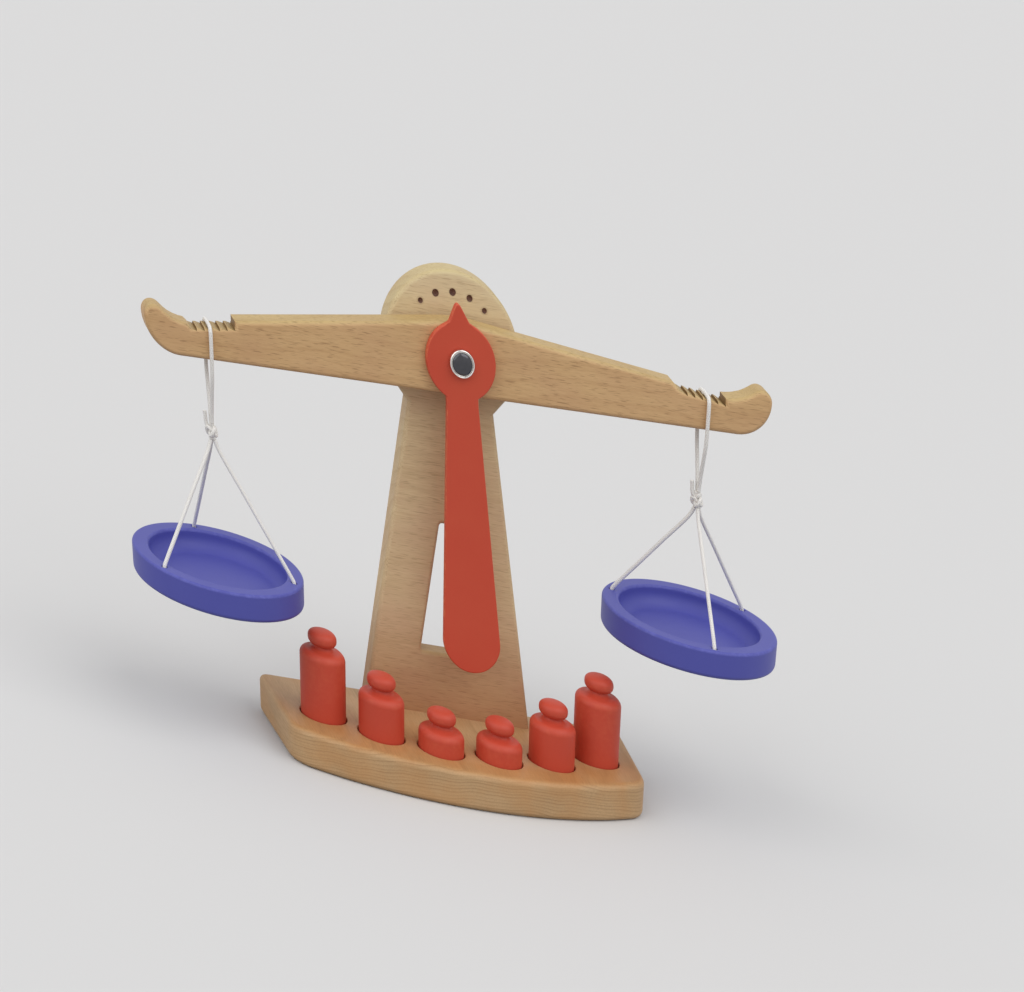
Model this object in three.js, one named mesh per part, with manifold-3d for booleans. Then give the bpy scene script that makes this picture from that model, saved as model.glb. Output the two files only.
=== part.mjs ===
// A wooden toy balance scale: a beech base with six sockets for red weights, a tapered beech
// post with a round head, and a notched beech beam that carries a red pointer and two blue
// pans on white cord. Millimetres, +Z up, +X to the viewer's right, the front faces -Y.
// The origin is the middle of the base's flat underside.

import * as THREE from 'three';
import { mergeVertices } from 'three/addons/utils/BufferGeometryUtils.js';
import Module from 'manifold-3d';

const wasm = await Module();
wasm.setup();

// Fits shared by several pieces
const fit = {
  gap: 0.3, // clearance between pieces that touch on the real scale
  overrun: 4, // how far a cutter runs past the face that it cuts
};

// Base board
const base = {
  backHalf: 103.5, // half of the straight back edge
  frontHalf: 99.3, // half width where an end edge meets the front curve
  depth: 93,
  thick: 20,
  frontRadius: 213, // the long curve of the front edge
  frontCorner: 18.6, // rounding of the corners at the front, in plan
  backCorner: 6, // rounding of the corners at the back, in plan
  edge: 1.8, // softened edge of the board
};

// Sockets and the arc that they lie on
const socket = {
  radius: 13,
  depth: 8,
  arcRadius: 141,
  pitch: THREE.MathUtils.degToRad(13.15), // angle between neighbours on the arc
  middleInset: 24.9, // from the front edge to the middle of the arc
};

// Turned weights, the outer pair tall, the next pair medium, the inner pair small
const weight = {
  radius: 12.1,
  stand: { tall: 34, medium: 22, small: 11.3 }, // body height above the board
  foot: 0.6, // small chamfer under the body
  shoulder: 4, // rounding at the top of the body
  neckRadius: 4.4,
  neckFlare: 0.9, // the body's top rises this much towards the neck
  neckHeight: 2.4, // from the top of the body to the knob
  knobRadius: 7.7,
  knobHalf: 3.8, // half the knob's height
};

// Post board
const post = {
  thick: 12.5,
  backInset: 8, // from the base's back edge to the post's back face
  pivotHeight: 181, // from the board's top to the pivot
  headRadius: 35.2,
  shoulderHalf: 29.3, // half width where the head meets the sloped shoulder
  neckHalf: 22.7,
  neckDrop: 27, // from the pivot down to the neck
  footHalf: 46.6,
  edge: 2.2, // softened edge of the board
};

// Opening through the post
const opening = {
  topDrop: 83, // from the pivot down to the opening
  bottomDrop: 148.5,
  topHalf: 5.2,
  bottomHalf: 15.1,
  corner: 1.8,
};

// Burned dots on the post's head
const dots = {
  arcRadius: 25.8,
  pitch: THREE.MathUtils.degToRad(19.9),
  innerRadius: 1.55,
  outerRadius: 1.2,
  depth: 0.8,
};

// Beam board, in its own frame with the pivot at its origin
const beam = {
  half: 162.8,
  thick: 12.5,
  below: 16.3, // from the pivot down to the straight underside
  above: 17, // from the pivot up to where the two top slopes would meet
  slope: 0.121, // fall of the top edge along each arm
  crown: 10, // half length of the rounded top over the pivot
  endReach: 17.6, // length of the rounding under each end
  noseRadius: 5.6, // rounded nose of each end
  noseRise: 5.3, // from the pivot line up to the top of the nose
  edge: 2.1, // softened edge of the board
  restTilt: THREE.MathUtils.degToRad(-1.2), // left end a little low, as photographed
};

// Recess and saw notches near each end of the beam
const notch = {
  count: 6,
  hung: 2, // notches outside the one that holds the cord
  pitch: 4,
  depth: 1.4,
  land: 0.4, // flat crest left between two notches
  arm: 129.3, // from the pivot to the cord
  recess: 2.9, // from the beam's top edge down to the line of crests
  lip: 2.1, // from the line of crests up to the recess's outer end
  innerRamp: 3.6, // slope into the recess on the right arm
  outerRamp: 2.4, // slope out of the recess on the left arm
  cordRise: 0.65, // from the crests to the middle of the cord that lies in a notch
};

// Pointer board, in its own frame with the pivot at its origin
const pointer = {
  thick: 3.5,
  discRadius: 18,
  tipHeight: 25.6,
  tipHalf: 4.4,
  neckHalf: 8.3,
  neckDrop: 19.4, // where the paddle leaves the disc
  paddleHalf: 15.6,
  paddleDrop: 134, // from the pivot to the middle of the round end
  edge: 0.7,
  lean: THREE.MathUtils.degToRad(-2.3), // it is glued on a little askew
};

// Pivot hardware
const pivot = {
  pinRadius: 3,
  washerRadius: 8,
  washerThick: 1.4,
  capRadius: 6.5,
  capHeight: 3.4,
  capSkirt: 1.2, // straight side of a cap
  capWall: 0.8,
  pinReach: 1.8, // how far the pin stands into a cap
};

// Countersunk screws from the base's underside into the post
const screw = {
  spread: 28, // from the middle of the post to each screw
  headRadius: 4,
  headSink: 0.6, // how far the head lies under the surface
  headHeight: 2.6,
  shankRadius: 2,
  length: 38,
  pointLength: 4,
};

// Pans
const pan = {
  radius: 46,
  height: 14,
  wall: 8,
  floor: 4,
  bowlFillet: 7,
  footFillet: 2.4,
  rimEdge: 1,
  holes: 3,
  holeRadius: 1.6,
  holeInset: 4.2, // from the outer wall to the middle of a hole
  pocketRadius: 2.6, // pocket under each hole for the stopper knot
  pocketDepth: 5.6,
  stopperRadius: 2.2,
  turn: { left: THREE.MathUtils.degToRad(95.4), right: THREE.MathUtils.degToRad(30.4) },
};

// White cord
const cord = {
  radius: 1,
  sides: 8,
  knotRadius: 3.4,
  knotHalf: 3.9,
  tailLean: 2.4, // how far the cut tail leans to the left
  tailHeight: 7.4, // from the knot's middle to the tail's end
  tailRoot: 1.5,
  loopSteps: 44,
  legSteps: 16,
  loopDrop: 49.8, // from the cord in the notch to the knot's middle
  legDrop: { left: 61.9, right: 57.2 }, // from the knot's middle to the pan's rim
};

// Loop over the beam, as (forward, up) from the middle of the cord in the notch.
// It is the front half, from the knot to the top.
const loopRoute = [
  [1.3, -45.6], [1.5, -43.6], [2.2, -40], [3.7, -34.5], [5.5, -28.5], [7, -23.5],
  [7.6, -19], [7.8, -14], [7.85, -9], [7.85, -4.2], [7.6, -1.9], [6.5, -0.45], [4.4, 0],
];

// Lower end of a leg, as (outward, up) from the top of its hole. The upper end starts at the knot.
const legRoute = [[-0.8, 1.3], [-0.2, 0.2], [0, -1.2], [0, -3.2], [0, -5.4], [0, -8.3]];

// How finely curved outlines and turned pieces are faceted
const facets = { arc: 6, round: 12, turned: 24, pan: 48, small: 16, curve: 6, bevel: 2 };

// Places worked out from the sizes above
const backY = base.depth / 2;
const frontY = -backY;
const postBackY = backY - post.backInset;
const postFrontY = postBackY - post.thick;
const beamBackY = postFrontY - pivot.washerThick - 2 * fit.gap;
const beamFrontY = beamBackY - beam.thick;
const beamMidY = (beamBackY + beamFrontY) / 2;
const pointerBackY = beamFrontY - fit.gap;
const pointerFrontY = pointerBackY - pointer.thick;
const pivotZ = base.thick + post.pivotHeight;

// Plain surfaces, one for each finish
const finish = (color, roughness, metalness) =>
  new THREE.MeshStandardMaterial({ color, roughness, metalness });
const beech = finish(0xc9a26b, 0.55, 0);
const redPaint = finish(0xc23a26, 0.42, 0);
const bluePaint = finish(0x4a4fa8, 0.4, 0);
const whiteCord = finish(0xe9e9ee, 0.85, 0);
const steel = finish(0xb8bcc0, 0.28, 1);
const capChrome = finish(0x9a9ea4, 0.16, 1);
const nylon = finish(0xe4e2da, 0.6, 0);

// Closed solid from a geometry whose shared corners are merged
function solid(geometry) {
  const bare = geometry.clone();
  bare.deleteAttribute('normal');
  bare.deleteAttribute('uv');
  const merged = mergeVertices(bare, fit.gap / 3000);
  return new wasm.Manifold(new wasm.Mesh({
    numProp: 3,
    vertProperties: new Float32Array(merged.attributes.position.array),
    triVerts: new Uint32Array(merged.index.array),
  }));
}

// Geometry back from a solid
function surface(body) {
  const mesh = body.getMesh();
  const geometry = new THREE.BufferGeometry();
  geometry.setAttribute('position', new THREE.BufferAttribute(mesh.vertProperties, 3));
  geometry.setIndex(new THREE.BufferAttribute(mesh.triVerts, 1));
  geometry.computeVertexNormals();
  return geometry;
}

function cut(geometry, ...cutters) {
  return surface(cutters.reduce((body, cutter) => body.subtract(solid(cutter)), solid(geometry)));
}

// Board with softened edges whose outline lies in XY, from z = 0 up to its thickness
function board(shape, thick, edge) {
  const geometry = new THREE.ExtrudeGeometry(shape, {
    depth: thick - 2 * edge,
    bevelThickness: edge,
    bevelSize: edge,
    bevelOffset: -edge,
    bevelSegments: facets.bevel,
    curveSegments: facets.curve,
  });
  return geometry.translate(0, 0, edge);
}

// The same board standing up, its outline in XZ and its back face at y = backFace
function standing(geometry, backFace) {
  return geometry.rotateX(Math.PI / 2).translate(0, backFace, 0);
}

// Cylinder along Z from low to high
function rod(radius, low, high, sides) {
  return new THREE.CylinderGeometry(radius, radius, high - low, sides)
    .rotateX(Math.PI / 2)
    .translate(0, 0, (low + high) / 2);
}

// Turned piece from (radius, height) points that start and end on the axis
function turned(points, sides) {
  const profile = points.map(([r, z]) => new THREE.Vector2(r, z));
  return new THREE.LatheGeometry(profile, sides).rotateX(Math.PI / 2);
}

// Points along an arc, both ends included
function arc(centreX, centreY, radiusX, radiusY, start, end, steps) {
  return Array.from({ length: steps + 1 }, (_, i) => {
    const angle = start + ((end - start) * i) / steps;
    return [centreX + radiusX * Math.cos(angle), centreY + radiusY * Math.sin(angle)];
  });
}

// Closed outline whose corners are rounded, each corner given as [x, y, radius]
function rounded(corners) {
  const shape = new THREE.Shape();
  corners.forEach(([x, y, radius], i) => {
    const before = corners[(i + corners.length - 1) % corners.length];
    const after = corners[(i + 1) % corners.length];
    const corner = new THREE.Vector2(x, y);
    const towards = ([px, py]) => new THREE.Vector2(px, py).sub(corner).normalize();
    const a = towards(before);
    const b = towards(after);
    const reach = radius / Math.tan(a.angleTo(b) / 2);
    const start = corner.clone().addScaledVector(a, reach);
    const end = corner.clone().addScaledVector(b, reach);
    if (i === 0) shape.moveTo(start.x, start.y);
    else shape.lineTo(start.x, start.y);
    if (radius > 0) shape.quadraticCurveTo(x, y, end.x, end.y);
  });
  shape.closePath();
  return shape;
}

// Tube along a smooth path through points
function tube(points, steps) {
  const section = new THREE.Shape(
    arc(0, 0, cord.radius, cord.radius, 0, 2 * Math.PI, cord.sides)
      .slice(0, -1)
      .map(([x, y]) => new THREE.Vector2(x, y)),
  );
  return new THREE.ExtrudeGeometry(section, {
    steps,
    bevelEnabled: false,
    extrudePath: new THREE.CatmullRomCurve3(points, false, 'centripetal'),
  });
}

function piece(name, geometry, material) {
  const mesh = new THREE.Mesh(geometry, material);
  mesh.name = name;
  return mesh;
}

// Where the sockets' centres lie, from left to right
const arcMiddleY = frontY + socket.middleInset + socket.arcRadius;
const socketPlaces = ['tall', 'medium', 'small', 'small', 'medium', 'tall'].map((size, i, all) => {
  const angle = (i - (all.length - 1) / 2) * socket.pitch;
  return {
    size,
    side: i < all.length / 2 ? 'left' : 'right',
    x: socket.arcRadius * Math.sin(angle),
    y: arcMiddleY - socket.arcRadius * Math.cos(angle),
  };
});

// Screw with a countersunk head, its head downwards, grown by a clearance where it cuts its hole
function screwSolid(grow) {
  const low = screw.headSink;
  return turned([
    [0, low - grow],
    [screw.headRadius + grow, low - grow],
    [screw.shankRadius + grow, low + screw.headHeight],
    [screw.shankRadius + grow, low + screw.length - screw.pointLength],
    [0, low + screw.length + grow],
  ], facets.small);
}

const screwPlaces = [['left', -screw.spread], ['right', screw.spread]];
const screwY = (postBackY + postFrontY) / 2;

// Base board with its sockets, and screw holes from below
function baseGeometry() {
  const middleY = frontY + base.frontRadius;
  const cornerAngle = Math.asin(base.frontHalf / base.frontRadius);
  const cornerY = middleY - base.frontRadius * Math.cos(cornerAngle);
  const curve = arc(0, middleY, base.frontRadius, base.frontRadius,
    -Math.PI / 2 - cornerAngle, -Math.PI / 2 + cornerAngle, facets.round);
  const corners = [
    [base.backHalf, backY, base.backCorner],
    [-base.backHalf, backY, base.backCorner],
    [-base.frontHalf, cornerY, base.frontCorner],
    ...curve.slice(2, -2).map(([x, y]) => [x, y, 0]),
    [base.frontHalf, cornerY, base.frontCorner],
  ];
  const sockets = socketPlaces.map(({ x, y }) =>
    rod(socket.radius, base.thick - socket.depth, base.thick + fit.overrun, facets.turned)
      .translate(x, y, 0));
  const screwHoles = screwPlaces.flatMap(([, x]) => [
    screwSolid(fit.gap).translate(x, screwY, 0),
    rod(screw.headRadius + fit.gap, -fit.overrun, screw.headSink, facets.small)
      .translate(x, screwY, 0),
  ]);
  return cut(board(rounded(corners), base.thick, base.edge), ...sockets, ...screwHoles);
}

// Post board: a round head over a tapered foot, with a tall opening and five dots
function postGeometry() {
  const shoulderDrop = Math.sqrt(post.headRadius ** 2 - post.shoulderHalf ** 2);
  const start = -Math.asin(shoulderDrop / post.headRadius);
  const taper = (post.footHalf - post.neckHalf) / (post.pivotHeight - post.neckDrop);
  const buriedDrop = post.pivotHeight + fit.overrun;
  const buriedHalf = post.footHalf + taper * fit.overrun;
  const outline = [
    ...arc(0, 0, post.headRadius, post.headRadius, start, Math.PI - start, 4 * facets.arc),
    [-post.neckHalf, -post.neckDrop],
    [-buriedHalf, -buriedDrop],
    [buriedHalf, -buriedDrop],
    [post.neckHalf, -post.neckDrop],
  ];
  const shape = new THREE.Shape(outline.map(([x, y]) => new THREE.Vector2(x, y)));
  shape.holes.push(rounded([
    [opening.topHalf, -opening.topDrop, opening.corner],
    [opening.bottomHalf, -opening.bottomDrop, opening.corner],
    [-opening.bottomHalf, -opening.bottomDrop, opening.corner],
    [-opening.topHalf, -opening.topDrop, opening.corner],
  ]));
  const whole = standing(board(shape, post.thick, post.edge), postBackY).translate(0, 0, pivotZ);
  const below = new THREE.BoxGeometry(4 * post.footHalf, 4 * post.thick, 2 * base.thick)
    .translate(0, screwY, 0);
  const bore = rod(pivot.pinRadius + fit.gap, -postBackY - fit.overrun,
    -postFrontY + fit.overrun, facets.small).rotateX(Math.PI / 2).translate(0, 0, pivotZ);
  const burned = [-2, -1, 0, 1, 2].map((place) => {
    const angle = place * dots.pitch;
    const radius = Math.abs(place) > 1 ? dots.outerRadius : dots.innerRadius;
    return rod(radius, -postFrontY - dots.depth, -postFrontY + fit.overrun, facets.small)
      .rotateX(Math.PI / 2)
      .translate(dots.arcRadius * Math.sin(angle), 0, pivotZ + dots.arcRadius * Math.cos(angle));
  });
  const screwHoles = screwPlaces.map(([, x]) => screwSolid(fit.gap).translate(x, screwY, 0));
  return cut(whole, below, bore, ...burned, ...screwHoles);
}

// Height of the beam's top edge, of the line of crests and of the cord's middle, at a distance
// along an arm
const rimAt = (x) => beam.above - beam.slope * Math.abs(x);
const crestAt = (x) => rimAt(x) - notch.recess;
const cordHeight = crestAt(notch.arm) + notch.cordRise;

// Upright walls of the notches on one arm, from the lowest x to the highest. Each wall faces
// left, and the cord lies to the left of the third one from the beam's end.
function notchWalls(side) {
  const seated = side * notch.arm + cord.radius + fit.gap;
  const outside = side < 0 ? notch.hung : notch.count - 1 - notch.hung;
  return Array.from({ length: notch.count }, (_, i) => seated + (i - outside) * notch.pitch);
}

// Outer end of the right arm, from the underside up round the nose
function endCurve() {
  const middleY = beam.noseRise - beam.noseRadius;
  return [
    ...arc(beam.half - beam.endReach, middleY, beam.endReach, beam.below + middleY,
      -Math.PI / 2, 0, facets.arc + 2),
    ...arc(beam.half - beam.noseRadius, middleY, beam.noseRadius, beam.noseRadius,
      0, THREE.MathUtils.degToRad(130), facets.arc).slice(1),
  ];
}

// Dip between the nose and the recess, as shares of the way along and of the height
const dipShares = [[0.17, 0.67], [0.36, 0.38], [0.58, 0.17], [0.8, 0.05]];

function dip(from, to) {
  const between = dipShares.map(([along, up]) => [
    from[0] + (to[0] - from[0]) * along,
    to[1] + (from[1] - to[1]) * up,
  ]);
  return [...between, to];
}

// Beam board, with a recess and six notches in the top of each arm
function beamGeometry() {
  const right = endCurve();
  const left = right.map(([x, y]) => [-x, y]).reverse();
  const rightWalls = notchWalls(1);
  const leftWalls = notchWalls(-1);
  const rightStep = rightWalls[rightWalls.length - 1];
  const leftStep = leftWalls[leftWalls.length - 1];
  const rightStart = rightWalls[0] - notch.pitch;
  const leftStart = leftWalls[0] - notch.pitch;
  const outerRim = leftStart - notch.outerRamp / 2;
  const innerRim = rightStart - notch.innerRamp;
  const outline = [
    ...right,
    ...dip(right[right.length - 1], [rightStep, crestAt(rightStep) + notch.lip]),
    [rightStep, crestAt(rightStep)],
    [rightStart, crestAt(rightStart)],
    [innerRim, rimAt(innerRim)],
    [beam.crown, rimAt(beam.crown)],
    [0, (beam.above + rimAt(beam.crown)) / 2],
    [-beam.crown, rimAt(beam.crown)],
    [leftStep, rimAt(leftStep)],
    [leftStep, crestAt(leftStep)],
    [outerRim + notch.outerRamp, crestAt(outerRim + notch.outerRamp)],
    ...dip(left[0], [outerRim, crestAt(outerRim) + notch.lip]).reverse(),
    ...left,
  ];
  const shape = new THREE.Shape(outline.map(([x, y]) => new THREE.Vector2(x, y)));
  const whole = standing(board(shape, beam.thick, beam.edge), beamBackY);
  const saws = [...leftWalls, ...rightWalls].map((wall) => {
    const top = crestAt(wall) + fit.overrun;
    const open = wall - notch.pitch + notch.land;
    const profile = new THREE.Shape([
      new THREE.Vector2(wall, crestAt(wall) - notch.depth),
      new THREE.Vector2(wall, top),
      new THREE.Vector2(open, top),
      new THREE.Vector2(open, crestAt(open)),
    ]);
    const length = beam.thick + 2 * fit.overrun;
    const saw = new THREE.ExtrudeGeometry(profile, { depth: length, bevelEnabled: false });
    return standing(saw, beamBackY + fit.overrun);
  });
  const bore = rod(pivot.pinRadius + fit.gap, -beamBackY - fit.overrun,
    -beamFrontY + fit.overrun, facets.small).rotateX(Math.PI / 2);
  return cut(whole, ...saws, bore);
}

// Pointer: a disc with a small tip above and a long widening paddle below
function pointerGeometry() {
  const neckAngle = Math.asin(pointer.neckHalf / pointer.discRadius);
  const tipAngle = Math.asin(pointer.tipHalf / pointer.discRadius);
  const disc = arc(0, 0, pointer.discRadius, pointer.discRadius,
    -Math.PI / 2 + neckAngle, Math.PI / 2 - tipAngle, 2 * facets.arc);
  const paddle = arc(0, -pointer.paddleDrop, pointer.paddleHalf, pointer.paddleHalf,
    0, -Math.PI, 2 * facets.arc);
  const mirrored = disc.map(([x, y]) => [-x, y]).reverse();
  const outline = [
    ...disc,
    [0, pointer.tipHeight],
    ...mirrored,
    [-pointer.neckHalf, -pointer.neckDrop],
    ...[...paddle].reverse(),
    [pointer.neckHalf, -pointer.neckDrop],
  ];
  const shape = new THREE.Shape(outline.map(([x, y]) => new THREE.Vector2(x, y)));
  const bore = rod(pivot.pinRadius + fit.gap, -pointerBackY - fit.overrun,
    -pointerFrontY + fit.overrun, facets.small).rotateX(Math.PI / 2);
  return cut(standing(board(shape, pointer.thick, pointer.edge), pointerBackY), bore);
}

// Weight, from its foot in the socket to the top of its knob
function weightGeometry(size) {
  const low = base.thick - socket.depth + fit.gap;
  const top = base.thick + weight.stand[size];
  const knobZ = top + weight.neckHeight + weight.knobHalf;
  const neckAngle = Math.acos(weight.neckRadius / weight.knobRadius);
  return turned([
    [0, low],
    [weight.radius - weight.foot, low],
    [weight.radius, low + weight.foot],
    ...arc(weight.radius - weight.shoulder, top - weight.shoulder, weight.shoulder,
      weight.shoulder, 0, Math.PI / 2, facets.arc - 2),
    [weight.neckRadius + weight.neckFlare, top + weight.neckFlare],
    ...arc(0, knobZ, weight.knobRadius, weight.knobHalf, -neckAngle, Math.PI / 2,
      facets.arc).slice(0, -1),
    [0, knobZ + weight.knobHalf],
  ], facets.turned);
}

// Dome cap pushed on the pin, its mouth at z = 0 and its dome upwards
function capGeometry() {
  const inside = pivot.pinRadius + fit.gap;
  const depth = pivot.pinReach + fit.gap;
  return turned([
    [0, depth],
    [inside, depth],
    [inside, 0],
    [pivot.capRadius - pivot.capWall / 2, 0],
    [pivot.capRadius, pivot.capWall / 2],
    ...arc(0, pivot.capSkirt, pivot.capRadius, pivot.capHeight - pivot.capSkirt,
      0, Math.PI / 2, facets.arc).slice(0, -1),
    [0, pivot.capHeight],
  ], facets.turned);
}

function washerGeometry() {
  const inside = pivot.pinRadius + fit.gap;
  const ring = new THREE.Shape();
  ring.absarc(0, 0, pivot.washerRadius, 0, 2 * Math.PI);
  const hole = new THREE.Path();
  hole.absarc(0, 0, inside, 0, 2 * Math.PI);
  ring.holes.push(hole);
  return new THREE.ExtrudeGeometry(ring, {
    depth: pivot.washerThick,
    bevelEnabled: false,
    curveSegments: facets.small,
  });
}

const panHoleRadius = pan.radius - pan.holeInset;

// Pan, with its rim's plane at z = 0 and three cord holes
function panGeometry() {
  const inner = pan.radius - pan.wall;
  const floorZ = pan.floor - pan.height;
  const bowl = arc(inner - pan.bowlFillet, floorZ + pan.bowlFillet, pan.bowlFillet,
    pan.bowlFillet, 0, -Math.PI / 2, facets.arc - 2);
  const foot = arc(pan.radius - pan.footFillet, pan.footFillet - pan.height, pan.footFillet,
    pan.footFillet, -Math.PI / 2, 0, facets.arc - 3);
  const body = turned([
    [0, -pan.height],
    ...foot,
    [pan.radius, -pan.rimEdge],
    [pan.radius - pan.rimEdge, 0],
    [inner + pan.rimEdge, 0],
    [inner, -pan.rimEdge],
    ...bowl,
    [0, floorZ],
  ], facets.pan);
  const drills = Array.from({ length: pan.holes }, (_, i) => {
    const angle = (i * 2 * Math.PI) / pan.holes;
    const hole = rod(pan.holeRadius, -pan.height - fit.overrun, fit.overrun, facets.round);
    const pocketTop = pan.pocketDepth - pan.height;
    const pocket = rod(pan.pocketRadius, -pan.height - fit.overrun, pocketTop, facets.round);
    return [hole, pocket].map((drill) => drill.translate(panHoleRadius, 0, 0).rotateZ(angle));
  }).flat();
  return cut(body, ...drills);
}

// Ball of knotted cord
function ball(radius, half) {
  return turned([
    [0, -half],
    ...arc(0, 0, radius, half, -Math.PI / 2, Math.PI / 2, facets.curve).slice(1, -1),
    [0, half],
  ], facets.round);
}

// Knot under the beam, its middle at the origin, with the cut tail beside the loop
function knotGeometry() {
  const tail = tube([
    new THREE.Vector3(-cord.tailRoot, 0, cord.tailRoot),
    new THREE.Vector3(-cord.tailRoot - cord.tailLean, 0, cord.tailHeight),
  ], 2);
  return surface(solid(ball(cord.knotRadius, cord.knotHalf)).add(solid(tail)));
}

function loopGeometry() {
  const front = loopRoute.map(([forward, up]) => new THREE.Vector3(0, -forward, up));
  const back = loopRoute.map(([forward, up]) => new THREE.Vector3(0, forward, up)).reverse();
  return tube([...front, ...back], cord.loopSteps);
}

// Leg in the XZ plane, from just under the knot to the pocket in the pan
function legGeometry(side) {
  const drop = cord.legDrop[side];
  const lower = legRoute.map(([outward, up]) => [panHoleRadius + outward, up]);
  const [outward, up] = lower[0];
  const aim = new THREE.Vector2(outward, up - drop).normalize();
  const clear = cord.knotHalf + fit.gap; // the leg swings round the knot and stays clear of it
  const start = [aim.x * clear, drop + aim.y * clear];
  const between = [1 / 3, 2 / 3].map((share) => [
    start[0] + (outward - start[0]) * share,
    start[1] + (up - start[1]) * share,
  ]);
  const points = [start, ...between, ...lower];
  return tube(points.map(([r, z]) => new THREE.Vector3(r, 0, z)), cord.legSteps);
}

const part = new THREE.Group();

part.add(piece('base', baseGeometry(), beech));
part.add(piece('post', postGeometry(), beech));

screwPlaces.forEach(([side, x]) => {
  const mesh = piece(`base_screw_${side}`, screwSolid(0), steel);
  mesh.position.set(x, screwY, 0);
  part.add(mesh);
});

// Pin along Y through post, washer, beam and pointer, with a dome cap on each end
const frontCapY = pointerFrontY - fit.gap;
const rearCapY = postBackY + fit.gap;
const pin = piece('pivot_pin',
  rod(pivot.pinRadius, -rearCapY - pivot.pinReach, -frontCapY + pivot.pinReach, facets.small),
  steel);
pin.rotation.x = Math.PI / 2;
pin.position.z = pivotZ;
part.add(pin);

const frontCap = piece('pivot_cap_front', capGeometry(), capChrome);
frontCap.rotation.x = Math.PI / 2;
frontCap.position.set(0, frontCapY, pivotZ);
part.add(frontCap);

const rearCap = piece('pivot_cap_rear', capGeometry(), capChrome);
rearCap.rotation.x = -Math.PI / 2;
rearCap.position.set(0, rearCapY, pivotZ);
part.add(rearCap);

const washer = piece('pivot_washer', washerGeometry(), nylon);
washer.rotation.x = Math.PI / 2;
washer.position.set(0, postFrontY - fit.gap, pivotZ);
part.add(washer);

// Everything that tilts on the pin
const tilting = new THREE.Group();
tilting.position.z = pivotZ;
tilting.rotation.y = beam.restTilt;
tilting.add(piece('beam', beamGeometry(), beech));
const pointerMesh = piece('pointer', pointerGeometry(), redPaint);
pointerMesh.rotation.y = pointer.lean;
tilting.add(pointerMesh);
part.add(tilting);

// Weights in their sockets
socketPlaces.forEach(({ size, side, x, y }) => {
  const mesh = piece(`weight_${size}_${side}`, weightGeometry(size), redPaint);
  mesh.position.set(x, y, 0);
  part.add(mesh);
});

// Pans, each hanging plumb from its notch
['left', 'right'].forEach((side) => {
  const hook = new THREE.Vector3(side === 'left' ? -notch.arm : notch.arm, 0, cordHeight)
    .applyAxisAngle(new THREE.Vector3(0, 1, 0), beam.restTilt);
  const hung = new THREE.Group();
  hung.position.set(hook.x, beamMidY, pivotZ + hook.z);
  hung.add(piece(`cord_loop_${side}`, loopGeometry(), whiteCord));

  const knot = piece(`cord_knot_${side}`, knotGeometry(), whiteCord);
  knot.position.z = -cord.loopDrop;
  hung.add(knot);

  const scale = new THREE.Group();
  scale.position.z = -cord.loopDrop - cord.legDrop[side];
  scale.rotation.z = pan.turn[side];
  scale.add(piece(`pan_${side}`, panGeometry(), bluePaint));
  for (let i = 0; i < pan.holes; i += 1) {
    const spoke = new THREE.Group();
    spoke.rotation.z = (i * 2 * Math.PI) / pan.holes;
    spoke.add(piece(`cord_leg_${side}_${i + 1}`, legGeometry(side), whiteCord));
    const stopper = piece(`cord_stopper_${side}_${i + 1}`,
      ball(pan.stopperRadius, pan.stopperRadius), whiteCord);
    const lastUp = legRoute[legRoute.length - 1][1];
    stopper.position.set(panHoleRadius, 0, lastUp - fit.gap - pan.stopperRadius);
    spoke.add(stopper);
    scale.add(spoke);
  }
  hung.add(scale);
  part.add(hung);
});

export default part;
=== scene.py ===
# A wooden toy balance scale, dressed over its fixed frame: beech base, post and beam, a red pointer
# and six red weights, and two blue pans on white cord. Metres, +Z up, the front faces -Y.

import math

import bmesh
import bpy
from mathutils import Matrix, Vector
from mathutils.geometry import tessellate_polygon


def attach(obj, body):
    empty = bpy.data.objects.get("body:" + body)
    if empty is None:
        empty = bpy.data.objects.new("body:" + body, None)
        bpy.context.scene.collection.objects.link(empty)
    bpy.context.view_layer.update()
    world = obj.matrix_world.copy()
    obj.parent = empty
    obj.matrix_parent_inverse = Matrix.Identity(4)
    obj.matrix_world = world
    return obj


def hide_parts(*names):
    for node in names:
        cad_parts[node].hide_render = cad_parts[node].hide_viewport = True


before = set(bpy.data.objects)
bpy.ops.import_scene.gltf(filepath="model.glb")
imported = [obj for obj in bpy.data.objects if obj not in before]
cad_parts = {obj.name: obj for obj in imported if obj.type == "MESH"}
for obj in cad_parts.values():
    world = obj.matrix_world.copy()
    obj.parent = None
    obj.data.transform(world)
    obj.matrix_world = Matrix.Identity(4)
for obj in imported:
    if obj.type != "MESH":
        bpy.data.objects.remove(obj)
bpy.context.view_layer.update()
mm = 0.001

# Camera
# It stands in front of the scale, a little to the left of it and above it. Its axes are slightly
# out of square, as in the photograph, so it hangs on a stand that skews them.
camera_place = Vector((-0.493128, -1.777479, 0.711434))
camera_right = Vector((0.98912, 0.09555, 0.11182))
camera_up = Vector((0.1961, 0.75795, 0.62214))
camera_back = Vector((-0.26793, -0.91806, 0.29219))
image_width = 1024
focal_pixels = 3522.18
sensor_width = 36

camera_stand = bpy.data.objects.new("camera_stand", None)
camera = bpy.data.objects.new("camera", bpy.data.cameras.new("camera"))
for stand_part in (camera_stand, camera):
    bpy.context.scene.collection.objects.link(stand_part)
view_axes = Matrix((camera_right, camera_up, camera_back)).transposed()
camera.parent = camera_stand
camera.matrix_parent_inverse = Matrix.Translation(camera_place) @ view_axes.to_4x4()
camera.data.sensor_width = sensor_width
camera.data.lens = focal_pixels / image_width * sensor_width
bpy.context.scene.camera = camera
bpy.context.scene.view_settings.view_transform = "Standard"

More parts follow.
